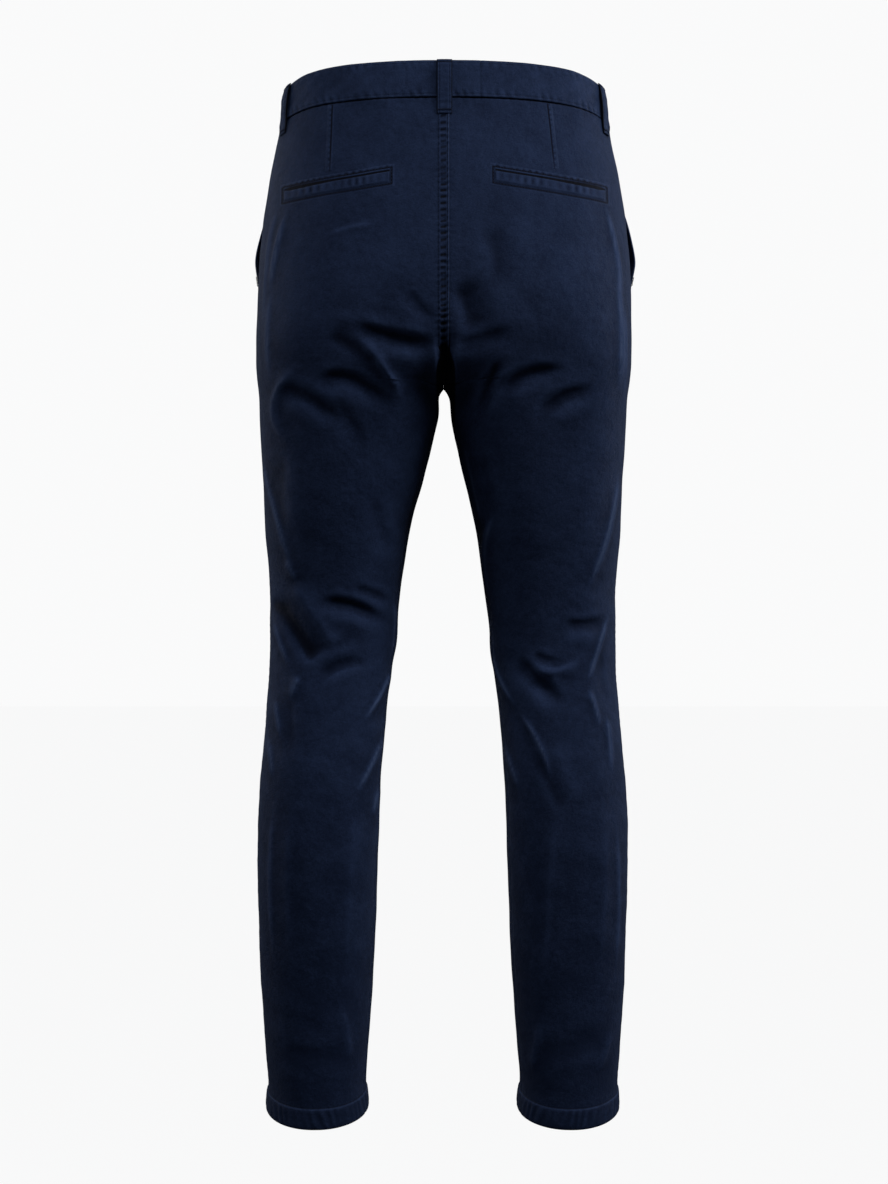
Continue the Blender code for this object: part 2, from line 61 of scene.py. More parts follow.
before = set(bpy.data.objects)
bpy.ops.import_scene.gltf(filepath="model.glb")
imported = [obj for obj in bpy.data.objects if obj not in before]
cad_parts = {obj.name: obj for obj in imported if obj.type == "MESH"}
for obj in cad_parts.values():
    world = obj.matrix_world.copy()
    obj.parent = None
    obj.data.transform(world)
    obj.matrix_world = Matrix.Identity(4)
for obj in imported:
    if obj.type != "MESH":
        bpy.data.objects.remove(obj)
CAD_BOX = [list(corner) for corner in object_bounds()]

# Heights on the side seam
WAIST_TOP, WAIST_SEAM = 0.0188, -0.0167
CROTCH = -0.2810
HEM_STITCH, HEM = -0.9925, -1.0125

# Tilt of the waist and of the hems
WAIST_TILT, HEM_DROP, HEM_CURVE = 0.0128, 0.0110, 0.0025
SIDE_DROP = 0.0075
SEAM_GAP = 0.0003

# Each half is a rounded ring from `inner` to `outer` across and `front` to `back` deep,
# deepest at `centre`, widest at `middle`, with `round` the exponent of its outline.
SECTION_COLUMNS = ("height", "outer", "inner", "centre", "back", "front", "middle", "round")
SECTIONS = (
    (0.0250, 0.1640, -0.1640, 0.0000, 0.1050, -0.1030, 0.0000, 2.30),
    (-0.0180, 0.1678, -0.1640, 0.0020, 0.1080, -0.1060, 0.0000, 2.30),
    (-0.0690, 0.1767, -0.1580, 0.0094, 0.1180, -0.1130, 0.0000, 2.35),
    (-0.1220, 0.1848, -0.1420, 0.0214, 0.1290, -0.1170, 0.0010, 2.40),
    (-0.1810, 0.1888, -0.1100, 0.0390, 0.1345, -0.1160, 0.0030, 2.55),
    (-0.2220, 0.1896, -0.0720, 0.0560, 0.1315, -0.1140, 0.0030, 2.75),
    (-0.2570, 0.1896, -0.0330, 0.0730, 0.1225, -0.1130, 0.0010, 2.95),
    (-0.2730, 0.1886, -0.0115, 0.0812, 0.1172, -0.1125, 0.0000, 2.95),
    (CROTCH, 0.1878, 0.0000, 0.0850, 0.1148, -0.1120, 0.0000, 2.92),
    (-0.2930, 0.1866, 0.0070, 0.0895, 0.1112, -0.1110, -0.0010, 2.85),
    (-0.3340, 0.1850, 0.0140, 0.0985, 0.1010, -0.1070, -0.0030, 2.60),
    (-0.3750, 0.1826, 0.0240, 0.1035, 0.0920, -0.1020, -0.0050, 2.45),
    (-0.4210, 0.1812, 0.0330, 0.1071, 0.0820, -0.0960, -0.0070, 2.35),
    (-0.4970, 0.1764, 0.0440, 0.1102, 0.0640, -0.0840, -0.0090, 2.30),
    (-0.5540, 0.1766, 0.0505, 0.1136, 0.0570, -0.0760, -0.0080, 2.25),
    (-0.6200, 0.1802, 0.0578, 0.1190, 0.0640, -0.0660, -0.0020, 2.20),
    (-0.6860, 0.1858, 0.0630, 0.1244, 0.0710, -0.0580, 0.0060, 2.15),
    (-0.7380, 0.1880, 0.0650, 0.1265, 0.0720, -0.0550, 0.0080, 2.15),
    (-0.8640, 0.1854, 0.0694, 0.1274, 0.0640, -0.0540, 0.0050, 2.15),
    (-0.9480, 0.1805, 0.0753, 0.1279, 0.0570, -0.0540, 0.0020, 2.15),
    (-0.9870, 0.1780, 0.0780, 0.1280, 0.0550, -0.0550, 0.0000, 2.15),
    (-1.0150, 0.1794, 0.0762, 0.1278, 0.0560, -0.0560, 0.0000, 2.15),
)
LEAN_TOP, LEAN_LEG, LEAN_START, LEAN_END = -0.0005, 0.0013, -0.12, -0.45
WAIST_TILT_END, HEM_TILT_START = -0.16, -0.85
CROTCH_BLEND_START, CROTCH_BLEND_END = -0.2100, -0.3500
INSEAM_TURN, SIDE_TURN = 0.30, 0.06

# The twill's ribs and weft
RIB_PITCH, WEFT_PITCH = 0.0013, 0.0009

# Slanted front pockets and the back pocket welts
MOUTH_TOP, MOUTH_END, BEARER_REACH = 0.046, -0.1880, 0.030
GAPE_MIDDLE, GAPE_FADE, GAPE_STARTS = -0.150, 0.024, {1: -0.090, -1: -0.065}
WELT_COLUMNS = ("name", "side", "x_out", "z_out", "x_in", "z_in")
WELTS = (
    ("back_welt_left", 1, 0.1580, -0.0895, 0.0530, -0.0775),
    ("back_welt_right", -1, -0.1590, -0.0890, -0.0500, -0.0765),
)

# Darts over the back pockets, from the waist seam down
DART_COLUMNS = ("name", "x_top", "z_top", "x_end", "z_end")
DARTS = (
    ("dart_left", 0.1110, -0.0085, 0.1130, -0.0765),
    ("dart_right", -0.1030, -0.0080, -0.1095, -0.0745),
)

# Belt loops, placed by how far round each half they sit (0 back, 0.5 side, 1 front)
LOOP_COLUMNS = ("name", "side", "around")
LOOPS = (
    ("belt_loop_back", 1, 0.0),
    ("belt_loop_side_left", 1, 0.405),
    ("belt_loop_side_right", -1, 0.405),
    ("belt_loop_front_left", 1, 0.740),
    ("belt_loop_front_right", -1, 0.740),
)
LOOP_BELOW = 0.0170
LOOP_ROWS, LOOP_COUNT = 60, 25
LOOP_STAND_COLUMNS = ("along", "stand")
LOOP_STAND = (
    (0.0, 0.0007), (0.12, 0.0009), (0.30, 0.0020), (0.55, 0.0030), (0.80, 0.0026), (1.0, 0.0012),
)

# Bar tacks: from one stitch to the next, and the thread's radius
TACK_PITCH, TACK_THREAD = 0.00062, 0.00036

# Square lamps that face the hips, each with a share of the key light's power
LIGHT_COLUMNS = ("name", "place", "size", "share", "tint")
LIGHTS = (
    ("key", (-2.5, 1.1, 1.3), 1.2, 1.0, (1.0, 1.0, 1.0)),
    ("top", (-0.4, 1.7, 2.4), 1.4, 0.66, (0.97, 0.98, 1.0)),
    ("side_left", (2.6, 0.75, 0.5), 1.0, 0.27, (1.0, 0.99, 0.98)),
    ("rim_left", (2.2, -1.1, 0.3), 1.2, 0.30, (1.0, 0.99, 0.98)),
    ("rim_right", (-2.2, -1.1, 0.5), 1.2, 0.35, (1.0, 1.0, 1.0)),
    ("front_top", (0.9, -2.0, 2.4), 1.4, 0.7, (0.97, 0.98, 1.0)),
)

# The waistband lies this far proud of the form, and its under end this far below it
BAND_PROUD, LAP_STEP = 0.0008, 0.0028

# Painted shade, nearly black, on the cloth in the cleft, from a place across and between two
# heights
CLEFT_PLACE, CLEFT_TOP, CLEFT_END = -0.0018, -0.247, -0.33

# A strip has to stand this far off the panel for the panel not to hide it
LEAST_LIFT = 0.00016

# The back pockets' frame: margins round the welt, and its stitches outside the mouth
WELT_ABOVE, WELT_BELOW, WELT_PAST = 0.0062, 0.0058, 0.055
FRAME_ABOVE, FRAME_BELOW = 0.0020, 0.0022

# The fly's stitches: their straight run's ends, the J's width and height
FLY_TOP, FLY_TURN, FLY_WIDE, FLY_TALL = -0.0255, -0.140, 0.034, 0.030

# A hem's profile, from over the stitch line, down, round the fold and up inside
HEM_COLUMNS = ("height", "out")
HEM_PROFILE = (
    (HEM_STITCH + 0.0016, -0.0006), (HEM_STITCH + 0.0006, 0.0001), (HEM_STITCH, 0.0001),
    (HEM_STITCH - 0.0008, 0.0007), (HEM_STITCH - 0.0020, 0.0011), (HEM_STITCH - 0.0040, 0.0012),
    (HEM_STITCH - 0.0060, 0.0012), (HEM_STITCH - 0.0080, 0.0012), (HEM_STITCH - 0.0100, 0.0012),
    (HEM_STITCH - 0.0120, 0.0012), (HEM_STITCH - 0.0140, 0.0012), (HEM_STITCH - 0.0160, 0.0012),
    (HEM_STITCH - 0.0178, 0.0011), (HEM_STITCH - 0.0192, 0.0008), (HEM - 0.0002, 0.0002),
    (HEM - 0.0005, -0.0009), (HEM, -0.0021), (HEM_STITCH - 0.0160, -0.0024),
    (HEM_STITCH - 0.0080, -0.0025), (HEM_STITCH, -0.0024), (HEM_STITCH + 0.0016, -0.0019),
)
HEM_STITCH_ROW = 2

# How much of its depth a ridge, a narrow and a wide trough gets; a trough's steep and its
# gentle side in widths; and the painted highlight line down a ridge finer than FINE_RIDGE
RIDGE_GAIN, TROUGH_GAIN, WIDE_GAIN, WIDE_TROUGH = 1.45, 0.66, 1.3, 0.012
STEEP_SIDE, GENTLE_SIDE = 0.62, 1.15
FINE_RIDGE, HIGHLIGHT_WIDTH, HIGHLIGHT_DEPTH = 0.0045, 0.0017, -0.0020

# Creases of the back: a trough along a curve through three places across and up, its
# width and depth, and a ridge beside it (lip, as a share, on the side below a curve that
# runs towards the wearer's right).  A negative depth is a ridge.
CREASE_COLUMNS = ("x0", "z0", "x1", "z1", "x2", "z2", "width", "depth", "lip")
BACK_CREASES = (
    # beside the seat seam and under the seat, left
    (0.034, -0.196, 0.024, -0.212, 0.007, -0.226, 0.0075, 0.0026, 0.5),
    (0.092, -0.228, 0.047, -0.242, 0.004, -0.248, 0.0080, 0.0080, 0.55),
    (0.084, -0.241, 0.060, -0.268, 0.039, -0.302, 0.0060, -0.0036, 0.0),
    (0.128, -0.286, 0.088, -0.281, 0.046, -0.314, 0.0075, 0.0062, 0.5),
    (0.163, -0.289, 0.130, -0.299, 0.098, -0.327, 0.0075, 0.0062, 0.5),
    (0.146, -0.270, 0.167, -0.305, 0.152, -0.345, 0.0050, -0.0030, 0.0),
    (0.112, -0.300, 0.090, -0.322, 0.078, -0.350, 0.0080, 0.0022, 0.4),
    # beside the seat seam and under the seat, right
    (-0.010, -0.186, -0.024, -0.215, -0.030, -0.248, 0.0150, 0.0046, -0.3),
    (-0.040, -0.130, -0.052, -0.165, -0.050, -0.205, 0.0140, 0.0022, -0.4),
    (-0.050, -0.296, -0.082, -0.276, -0.120, -0.274, 0.0075, 0.0064, 0.5),
    (-0.095, -0.318, -0.114, -0.299, -0.150, -0.290, 0.0075, 0.0060, 0.5),
    (-0.054, -0.264, -0.044, -0.286, -0.034, -0.320, 0.0055, 0.0046, -0.5),
    (-0.010, -0.247, -0.040, -0.242, -0.070, -0.232, 0.0080, 0.0036, 0.4),
    # inner edges of the thighs and the cleft between them
    (0.0100, -0.238, 0.0120, -0.280, 0.0200, -0.350, 0.0075, -0.0040, 0.0),
    (0.0150, -0.285, 0.0230, -0.345, 0.0420, -0.430, 0.0120, -0.0042, 0.0),
    (-0.0130, -0.238, -0.0145, -0.280, -0.0200, -0.350, 0.0075, -0.0034, 0.0),
    (-0.0170, -0.285, -0.0250, -0.345, -0.0440, -0.430, 0.0120, -0.0030, 0.0),
    (-0.0015, -0.240, -0.0015, -0.262, -0.0015, -0.300, 0.0056, 0.0040, 0.0),
    # ridges down the hips
    (0.1560, -0.115, 0.1660, -0.155, 0.1730, -0.200, 0.0030, -0.0018, 0.0),
    (0.1660, -0.110, 0.1750, -0.160, 0.1790, -0.235, 0.0030, -0.0014, 0.0),
    (0.1700, -0.190, 0.1740, -0.235, 0.1720, -0.285, 0.0035, -0.0014, 0.0),
    (0.1150, -0.142, 0.0900, -0.134, 0.0620, -0.131, 0.0026, -0.0007, 0.0),
    (-0.1600, -0.110, -0.1700, -0.150, -0.1760, -0.200, 0.0030, -0.0018, 0.0),
    (-0.1710, -0.170, -0.1745, -0.235, -0.1730, -0.300, 0.0032, -0.0020, 0.0),
    (-0.1780, -0.200, -0.1795, -0.250, -0.1785, -0.310, 0.0030, -0.0014, 0.0),
    # down the thighs
    (0.181, -0.360, 0.172, -0.400, 0.147, -0.479, 0.0034, -0.0020, 0.0),
    (0.160, -0.350, 0.165, -0.390, 0.160, -0.440, 0.0120, 0.0020, 0.4),
    (-0.018, -0.336, -0.029, -0.383, -0.041, -0.431, 0.0040, -0.0022, 0.0),
    (-0.034, -0.345, -0.044, -0.385, -0.052, -0.430, 0.0090, 0.0020, 0.0),
    (-0.049, -0.414, -0.041, -0.452, -0.048, -0.503, 0.0034, -0.0020, 0.0),
    (-0.175, -0.369, -0.163, -0.433, -0.141, -0.490, 0.0036, -0.0022, 0.0),
    (0.070, -0.392, 0.062, -0.420, 0.054, -0.452, 0.0080, 0.0020, 0.3),
    # behind the left knee
    (0.124, -0.501, 0.092, -0.502, 0.054, -0.521, 0.0070, 0.0066, 0.5),
    (0.092, -0.486, 0.073, -0.489, 0.053, -0.499, 0.0055, 0.0030, 0.4),
    (0.124, -0.578, 0.105, -0.564, 0.074, -0.558, 0.0070, 0.0056, -0.5),
    (0.1575, -0.457, 0.153, -0.467, 0.1466, -0.479, 0.0030, -0.0016, 0.0),
    (0.1715, -0.519, 0.165, -0.540, 0.1555, -0.563, 0.0026, -0.0020, 0.0),
    (0.1436, -0.5747, 0.150, -0.583, 0.1535, -0.600, 0.0040, -0.0018, 0.0),
    (0.1695, -0.5967, 0.167, -0.615, 0.1635, -0.6346, 0.0030, -0.0016, 0.0),
    (0.1560, -0.590, 0.154, -0.620, 0.1560, -0.660, 0.0070, 0.0018, 0.0),
    (0.1765, -0.6366, 0.1735, -0.656, 0.1715, -0.6764, 0.0026, -0.0016, 0.0),
    (0.0510, -0.497, 0.0500, -0.530, 0.0545, -0.5688, 0.0026, -0.0020, 0.0),
    (0.0545, -0.5688, 0.0640, -0.592, 0.0818, -0.6206, 0.0026, -0.0020, 0.0),
    (0.0480, -0.580, 0.0560, -0.604, 0.0700, -0.628, 0.0060, 0.0018, 0.0),
    (0.0618, -0.6346, 0.0738, -0.6645, 0.0877, -0.6884, 0.0026, -0.0019, 0.0),
    (0.0658, -0.6864, 0.069, -0.700, 0.0708, -0.7143, 0.0028, -0.0014, 0.0),
    # behind the right knee
    (-0.119, -0.520, -0.140, -0.521, -0.163, -0.516, 0.0065, 0.0046, 0.5),
    (-0.088, -0.550, -0.101, -0.556, -0.118, -0.558, 0.0055, 0.0034, 0.5),
    (-0.071, -0.553, -0.096, -0.577, -0.121, -0.603, 0.0080, 0.0074, 0.5),
    (-0.082, -0.563, -0.111, -0.569, -0.138, -0.555, 0.0050, -0.0026, 0.0),
    (-0.0477, -0.523, -0.0530, -0.566, -0.0748, -0.609, 0.0027, -0.0021, 0.0),
    (-0.0748, -0.609, -0.0943, -0.6400, -0.1077, -0.678, 0.0030, -0.0018, 0.0),
    (-0.0613, -0.6435, -0.068, -0.665, -0.0748, -0.686, 0.0026, -0.0016, 0.0),
    (-0.1663, -0.508, -0.1525, -0.552, -0.1441, -0.578, 0.0027, -0.0021, 0.0),
    (-0.1441, -0.586, -0.151, -0.604, -0.1565, -0.6246, 0.0027, -0.0019, 0.0),
    (-0.1600, -0.545, -0.158, -0.575, -0.166, -0.605, 0.0070, 0.0020, 0.0),
    (-0.1625, -0.6126, -0.166, -0.640, -0.168, -0.6744, 0.0030, -0.0017, 0.0),
    (-0.0640, -0.585, -0.078, -0.622, -0.092, -0.655, 0.0080, 0.0020, 0.0),
    # long soft planes of the calves
    (0.150, -0.690, 0.156, -0.780, 0.150, -0.880, 0.0090, -0.0014, 0.0),
    (0.088, -0.700, 0.094, -0.790, 0.098, -0.900, 0.0090, -0.0012, 0.0),
    (-0.110, -0.700, -0.104, -0.800, -0.098, -0.910, 0.0090, -0.0014, 0.0),
    (-0.158, -0.700, -0.160, -0.790, -0.152, -0.890, 0.0090, -0.0012, 0.0),
    (0.170, -0.700, 0.174, -0.780, 0.170, -0.860, 0.0030, -0.0012, 0.0),
    (-0.172, -0.720, -0.175, -0.800, -0.171, -0.880, 0.0030, -0.0012, 0.0),
    # above the hems
    (0.104, -0.900, 0.098, -0.930, 0.094, -0.962, 0.0045, -0.0016, 0.0),
    (0.165, -0.940, 0.130, -0.952, 0.095, -0.945, 0.0110, 0.0018, 0.5),
    (-0.160, -0.930, -0.130, -0.945, -0.095, -0.950, 0.0110, 0.0018, 0.5),
    (-0.168, -0.925, -0.161, -0.950, -0.150, -0.972, 0.0045, -0.0018, 0.0),
    (-0.098, -0.915, -0.092, -0.945, -0.088, -0.975, 0.0045, -0.0014, 0.0),
)

# Flat facets: a valley from the first place to the second, from which the cloth rises
# evenly over `wide` towards the wearer's right to a sharp ridge.
FACET_COLUMNS = ("x0", "z0", "x1", "z1", "wide", "depth", "ridge")
FACETS = (
    (0.1660, -0.503, 0.1310, -0.553, 0.0240, 0.0060, 0.0030),
    (0.1060, -0.242, 0.0660, -0.262, 0.0200, 0.0024, 0.0010),
    (-0.0950, -0.655, -0.1150, -0.700, 0.0180, 0.0016, 0.0010),
)
FRONT_CREASES = (
    (0.0150, -0.285, 0.0200, -0.345, 0.0400, -0.430, 0.0120, -0.0024, 0.0),
    # spreading from the crotch
    (0.012, -0.245, 0.050, -0.235, 0.100, -0.205, 0.0080, 0.0035, 0.5),
    (-0.010, -0.247, -0.045, -0.232, -0.092, -0.198, 0.0080, 0.0034, 0.5),
    (0.016, -0.268, 0.060, -0.272, 0.115, -0.258, 0.0075, 0.0030, 0.5),
    (-0.014, -0.270, -0.056, -0.268, -0.108, -0.252, 0.0075, 0.0032, 0.5),
    (0.030, -0.305, 0.070, -0.318, 0.112, -0.312, 0.0080, 0.0024, 0.5),
    (-0.030, -0.308, -0.068, -0.316, -0.104, -0.306, 0.0080, 0.0024, 0.5),
    # over the knees
    (0.160, -0.520, 0.130, -0.532, 0.080, -0.526, 0.0090, 0.0028, 0.5),
    (-0.158, -0.528, -0.125, -0.536, -0.078, -0.524, 0.0090, 0.0028, 0.5),
    (0.165, -0.585, 0.125, -0.598, 0.075, -0.590, 0.0095, 0.0030, 0.5),
    (-0.168, -0.580, -0.126, -0.600, -0.082, -0.594, 0.0095, 0.0030, 0.5),
    (0.172, -0.640, 0.135, -0.655, 0.100, -0.648, 0.0090, 0.0020, 0.5),
    (-0.170, -0.645, -0.130, -0.656, -0.096, -0.642, 0.0090, 0.0020, 0.5),
    # breaks above the hems
    (0.168, -0.945, 0.130, -0.958, 0.088, -0.950, 0.0090, 0.0026, 0.5),
    (-0.166, -0.950, -0.128, -0.962, -0.090, -0.948, 0.0090, 0.0026, 0.5),
    (0.165, -0.905, 0.135, -0.915, 0.105, -0.908, 0.0090, 0.0018, 0.5),
    (-0.165, -0.908, -0.132, -0.916, -0.100, -0.906, 0.0090, 0.0018, 0.5),
)


# ---------------------------------------------------------------- the garment's form

def column(table, columns, name):
    """One named column of a table as an array."""
    return np.array([row[columns.index(name)] for row in table], dtype=float)


def smooth_between(x, xs, ys):
    """Cubic Hermite curve through the points with harmonic-mean slopes, so it never overshoots."""
    order = np.argsort(xs)
    xs, ys = xs[order], ys[order]
    step = np.diff(xs)
    slope = np.diff(ys) / step
    tangent = np.zeros_like(ys)
    same = slope[:-1] * slope[1:] > 0
    near, far = 2 * step[1:] + step[:-1], step[1:] + 2 * step[:-1]
    with np.errstate(divide="ignore", invalid="ignore"):
        mean = (near + far) / (near / slope[:-1] + far / slope[1:])
    tangent[1:-1] = np.where(same, mean, 0.0)
    tangent[0], tangent[-1] = slope[0], slope[-1]
    x = np.clip(x, xs[0], xs[-1])
    i = np.clip(np.searchsorted(xs, x) - 1, 0, len(step) - 1)
    t = (x - xs[i]) / step[i]
    return ((2 * t**3 - 3 * t**2 + 1) * ys[i] + (t**3 - 2 * t**2 + t) * step[i] * tangent[i]
            + (3 * t**2 - 2 * t**3) * ys[i + 1] + (t**3 - t**2) * step[i] * tangent[i + 1])


def ease(value, start, end):
    """0 at start to 1 at end by 3t^2 - 2t^3."""
    t = np.clip((value - start) / (end - start), 0.0, 1.0)
    return t * t * (3 - 2 * t)


def power(value, exponent):
    """A power that keeps the sign."""
    return np.sign(value) * np.abs(value) ** exponent


def bell(value, centre, width):
    """A rounded hump, exp(-((value - centre) / width)^2)."""
    return np.exp(-(((value - centre) / width) ** 2))


HEIGHTS = column(SECTIONS, SECTION_COLUMNS, "height")
PROFILES = {name: column(SECTIONS, SECTION_COLUMNS, name) for name in SECTION_COLUMNS}


def section(height, name):
    """A column of the section table at any height."""
    return smooth_between(np.asarray(height, dtype=float), HEIGHTS, PROFILES[name])


def lean_at(height):
    """How far a ring is moved across, easing from the waist's lean to the legs'."""
    return LEAN_TOP + (LEAN_LEG - LEAN_TOP) * ease(height, LEAN_START, LEAN_END)


def form(height, angle, side):
    """Outer cloth without creases: across = centre + reach * |cos|^(2/n), deep = middle +
    reach * |sin|^(2/n), with the reach on each side from the sections, then tilted at the
    waist and the hem and moved off the centre plane by half a seam gap."""
    outer, inner, centre = (section(height, name) for name in ("outer", "inner", "centre"))
    back, front, middle = (section(height, name) for name in ("back", "front", "middle"))
    exponent = 2.0 / section(height, "round")
    reach = power(np.cos(angle), exponent)
    x = centre + reach * np.where(reach > 0, outer - centre, centre - inner)
    turn = power(np.sin(angle), exponent)
    y = middle + turn * np.where(turn > 0, back - middle, middle - front)
    waist = ease(height, WAIST_TILT_END, WAIST_SEAM)
    hem = ease(height, HEM_TILT_START, HEM)
    z = height + WAIST_TILT * turn * waist - (HEM_DROP * turn + HEM_CURVE * turn**2) * hem
    hip = 1 - ease(np.abs(y), 0.018, 0.088)
    z = z - SIDE_DROP * hip * ease(height, -0.075, WAIST_TOP) ** 1.4
    return np.stack([side * (x + SEAM_GAP / 2) + lean_at(height), y, z], axis=-1)


def unit(vectors):
    """Vectors at length one."""
    return vectors / np.maximum(np.linalg.norm(vectors, axis=-1, keepdims=True), 1e-12)


def form_normal(height, angle, side):
    """Cross product of central differences round the ring and up the garment."""
    du, dv = 1e-4, 1e-3
    along = form(height + du, angle, side) - form(height - du, angle, side)
    around = form(height, angle + dv, side) - form(height, angle - dv, side)
    return unit(np.cross(around, along) * np.asarray(side, float)[..., None])


def cut_angle(height):
    """Ring angle of the centre-back cut or, on the leg, of the inseam."""
    names = ("inner", "centre", "round")
    inner, centre, rounding = (float(section(height, name)) for name in names)
    if inner < 0:
        return math.acos(-((centre / (centre - inner)) ** (rounding / 2)))
    turn = INSEAM_TURN * float(ease(height, CROTCH, CROTCH - 0.09))
    return math.pi - math.asin(turn ** (rounding / 2))


def side_angle(height):
    """Ring angle of the side seam."""
    return math.asin(SIDE_TURN ** (float(section(height, "round")) / 2))


def front_angle(height):
    """Ring angle of the centre-front cut or of the inseam, reached through the front."""
    cut = cut_angle(height)
    return -cut if float(section(height, "inner")) < 0 else cut - 2 * math.pi


def arc(height, start, end, count=900):
    """Ring angles from start to end and the length of arc up to each."""
    dense = np.linspace(start, end, count)
    return dense, path_lengths(form(np.full_like(dense, height), dense, 1))


def path_lengths(path):
    """Length of arc along a path of points, from 0."""
    return np.concatenate([[0], np.cumsum(np.linalg.norm(np.diff(path, axis=0), axis=1))])


def angles_at(height, start, end, wanted):
    """Ring angles at lengths of arc from one ring angle towards another."""
    dense, length = arc(height, start, end)
    return np.interp(wanted, length, dense)


def angle_across(height, x):
    """Ring angle on the back (positive) at a distance across, by inverting the form."""
    outer, inner, centre = (section(height, name) for name in ("outer", "inner", "centre"))
    half = np.where(x > centre, outer - centre, centre - inner)
    reach = np.clip((x - centre) / half, -1, 1)
    return np.arccos(np.clip(power(reach, section(height, "round") / 2), -1, 1))


def beside_line(place, line):
    """Signed distance of places to a line of points, and the share of the line passed."""
    best = np.full(len(place), 1.0)
    signed, along = np.zeros(len(place)), np.zeros(len(place))
    for i, (start, end) in enumerate(zip(line[:-1], line[1:])):
        step = end - start
        share = np.clip((place - start) @ step / (step @ step), 0, 1)
        off = place - start - share[:, None] * step
        distance = np.linalg.norm(off, axis=1)
        closer = distance < best
        best = np.where(closer, distance, best)
        turn = np.sign(step[0] * off[:, 1] - step[1] * off[:, 0])
        signed = np.where(closer, distance * turn, signed)
        along = np.where(closer, (i + share) / (len(line) - 1), along)
    return signed, along


def crease_depth(x, z, table):
    """Sum over the creases of -depth * exp(-(q / a)^2), with q the signed distance in widths
    to a parabola through the crease's three places and a its steep or its gentle side, plus
    the lip's ridge at 2.2 widths, all fading towards the crease's ends.  A ridge is
    exp(-|q|^1.35).  The second field marks a painted highlight line down each fine ridge."""
    relief, ridge_highlight = np.zeros_like(x), np.zeros_like(x)
    t = np.linspace(0, 1, 15)[:, None]
    blend = np.concatenate([2 * (t - 0.5) * (t - 1), 4 * t * (1 - t), 2 * t * (t - 0.5)], axis=1)
    for row in table:
        c = dict(zip(CREASE_COLUMNS, row))
        line = blend @ np.array([[c["x0"], c["z0"]], [c["x1"], c["z1"]], [c["x2"], c["z2"]]])
        reach = 4 * c["width"]
        near = ((x > line[:, 0].min() - reach) & (x < line[:, 0].max() + reach)
                & (z > line[:, 1].min() - reach) & (z < line[:, 1].max() + reach))
        if not near.any():
            continue
        signed, along = beside_line(np.stack([x[near], z[near]], axis=-1), line)
        fade = 0.12 + 0.88 * ease(along, 0.0, 0.3)
        fade = fade * (0.05 + 0.95 * (1 - ease(along, 0.65, 1.0)))
        q = signed / c["width"] * math.copysign(1.0, c["lip"])
        if c["depth"] < 0:
            gain, shape = RIDGE_GAIN, -np.exp(-np.abs(q) ** 1.35)
        else:
            gain = TROUGH_GAIN if c["width"] < WIDE_TROUGH else WIDE_GAIN
            shape = -bell(q, 0, np.where(q < 0, STEEP_SIDE, GENTLE_SIDE))
        if c["lip"]:
            shape = shape + 0.55 * abs(c["lip"]) * bell(q, 2.2, 1.25) + 0.14 * bell(q, -1.4, 0.7)
        relief[near] += gain * c["depth"] * fade * shape
        # Painted highlight: a bright line down each fine ridge
        if c["depth"] < 0 and c["width"] < FINE_RIDGE:
            shine = np.exp(-np.abs(signed / HIGHLIGHT_WIDTH) ** 1.4)
            strength = np.sqrt(np.clip(fade * 1.14 - 0.14, 0, 1))
            ridge_highlight[near] += c["depth"] / HIGHLIGHT_DEPTH * strength * shine
    return relief, ridge_highlight


def facet_depth(x, z):
    """Each facet falls steeply to its valley, climbs in a straight slope to its ridge and
    dies away beyond, faded towards both ends of the valley."""
    relief = np.zeros_like(x)
    for row in FACETS:
        c = dict(zip(FACET_COLUMNS, row))
        step = np.array([c["x1"] - c["x0"], c["z1"] - c["z0"]])
        length = np.linalg.norm(step)
        ahead = step / length
        aside = np.array([ahead[1], -ahead[0]]) * math.copysign(1.0, -ahead[1])
        along = ((x - c["x0"]) * ahead[0] + (z - c["z0"]) * ahead[1]) / length
        off = (x - c["x0"]) * aside[0] + (z - c["z0"]) * aside[1]
        off = off * math.copysign(1.0, -aside[0]) / c["wide"]
        slope = -c["depth"] + (c["depth"] + c["ridge"]) * off
        steep = -c["depth"] * bell(off, 0, 0.30)
        gone = c["ridge"] * bell(off, 1, 0.55)
        shape = np.where(off < 0, steep, np.where(off > 1, gone, slope))
        relief += shape * ease(along, -0.22, 0.10) * ease(along, 1.12, 0.92)
    return relief


def ripple(x, z, pitch, seed):
    """A wave of slowly wandering pitch and height, from three sines of unlike pitch."""
    wander = np.sin(z * 37 + x * 23 + seed) * 1.3 + np.sin(z * 91 - x * 57 + 2.1 * seed) * 0.8
    swell = 0.65 + 0.35 * np.sin(z * 141 + x * 83 + 3.7 * seed)
    return swell * np.sin(2 * math.pi * z / pitch + wander)


def cloth_relief(points, turn):
    """How far the creases push the cloth out, the back's and the front's shared by facing,
    with a slow unevenness all over and puckers beside the seat seam."""
    x, z = points[..., 0], points[..., 2]
    share = ease(turn, -0.3, 0.3)
    relief = share * (crease_depth(x, z, BACK_CREASES)[0] + facet_depth(x, z))
    relief = relief + (1 - share) * crease_depth(x, z, FRONT_CREASES)[0]
    slow = (np.sin(x * 61 + z * 23 + 1.0) * np.sin(z * 47 - x * 31 + 0.6)
            + 0.6 * np.sin(x * 97 - z * 71 + 2.0) * np.sin(z * 83 + x * 29))
    relief = relief + 0.00035 * slow
    seam = bell(x, 0, 0.008) * (z > CROTCH + 0.02) * share
    return relief + 0.00045 * seam * ripple(np.zeros_like(x), z, 0.0065, 0.4)


def cloth(height, angle, side):
    """Creased outer points, the form's normals and the relief at heights and ring angles."""
    points, out = form(height, angle, side), form_normal(height, angle, side)
    relief = cloth_relief(points, np.sin(angle))
    return points + out * relief[..., None], out, relief


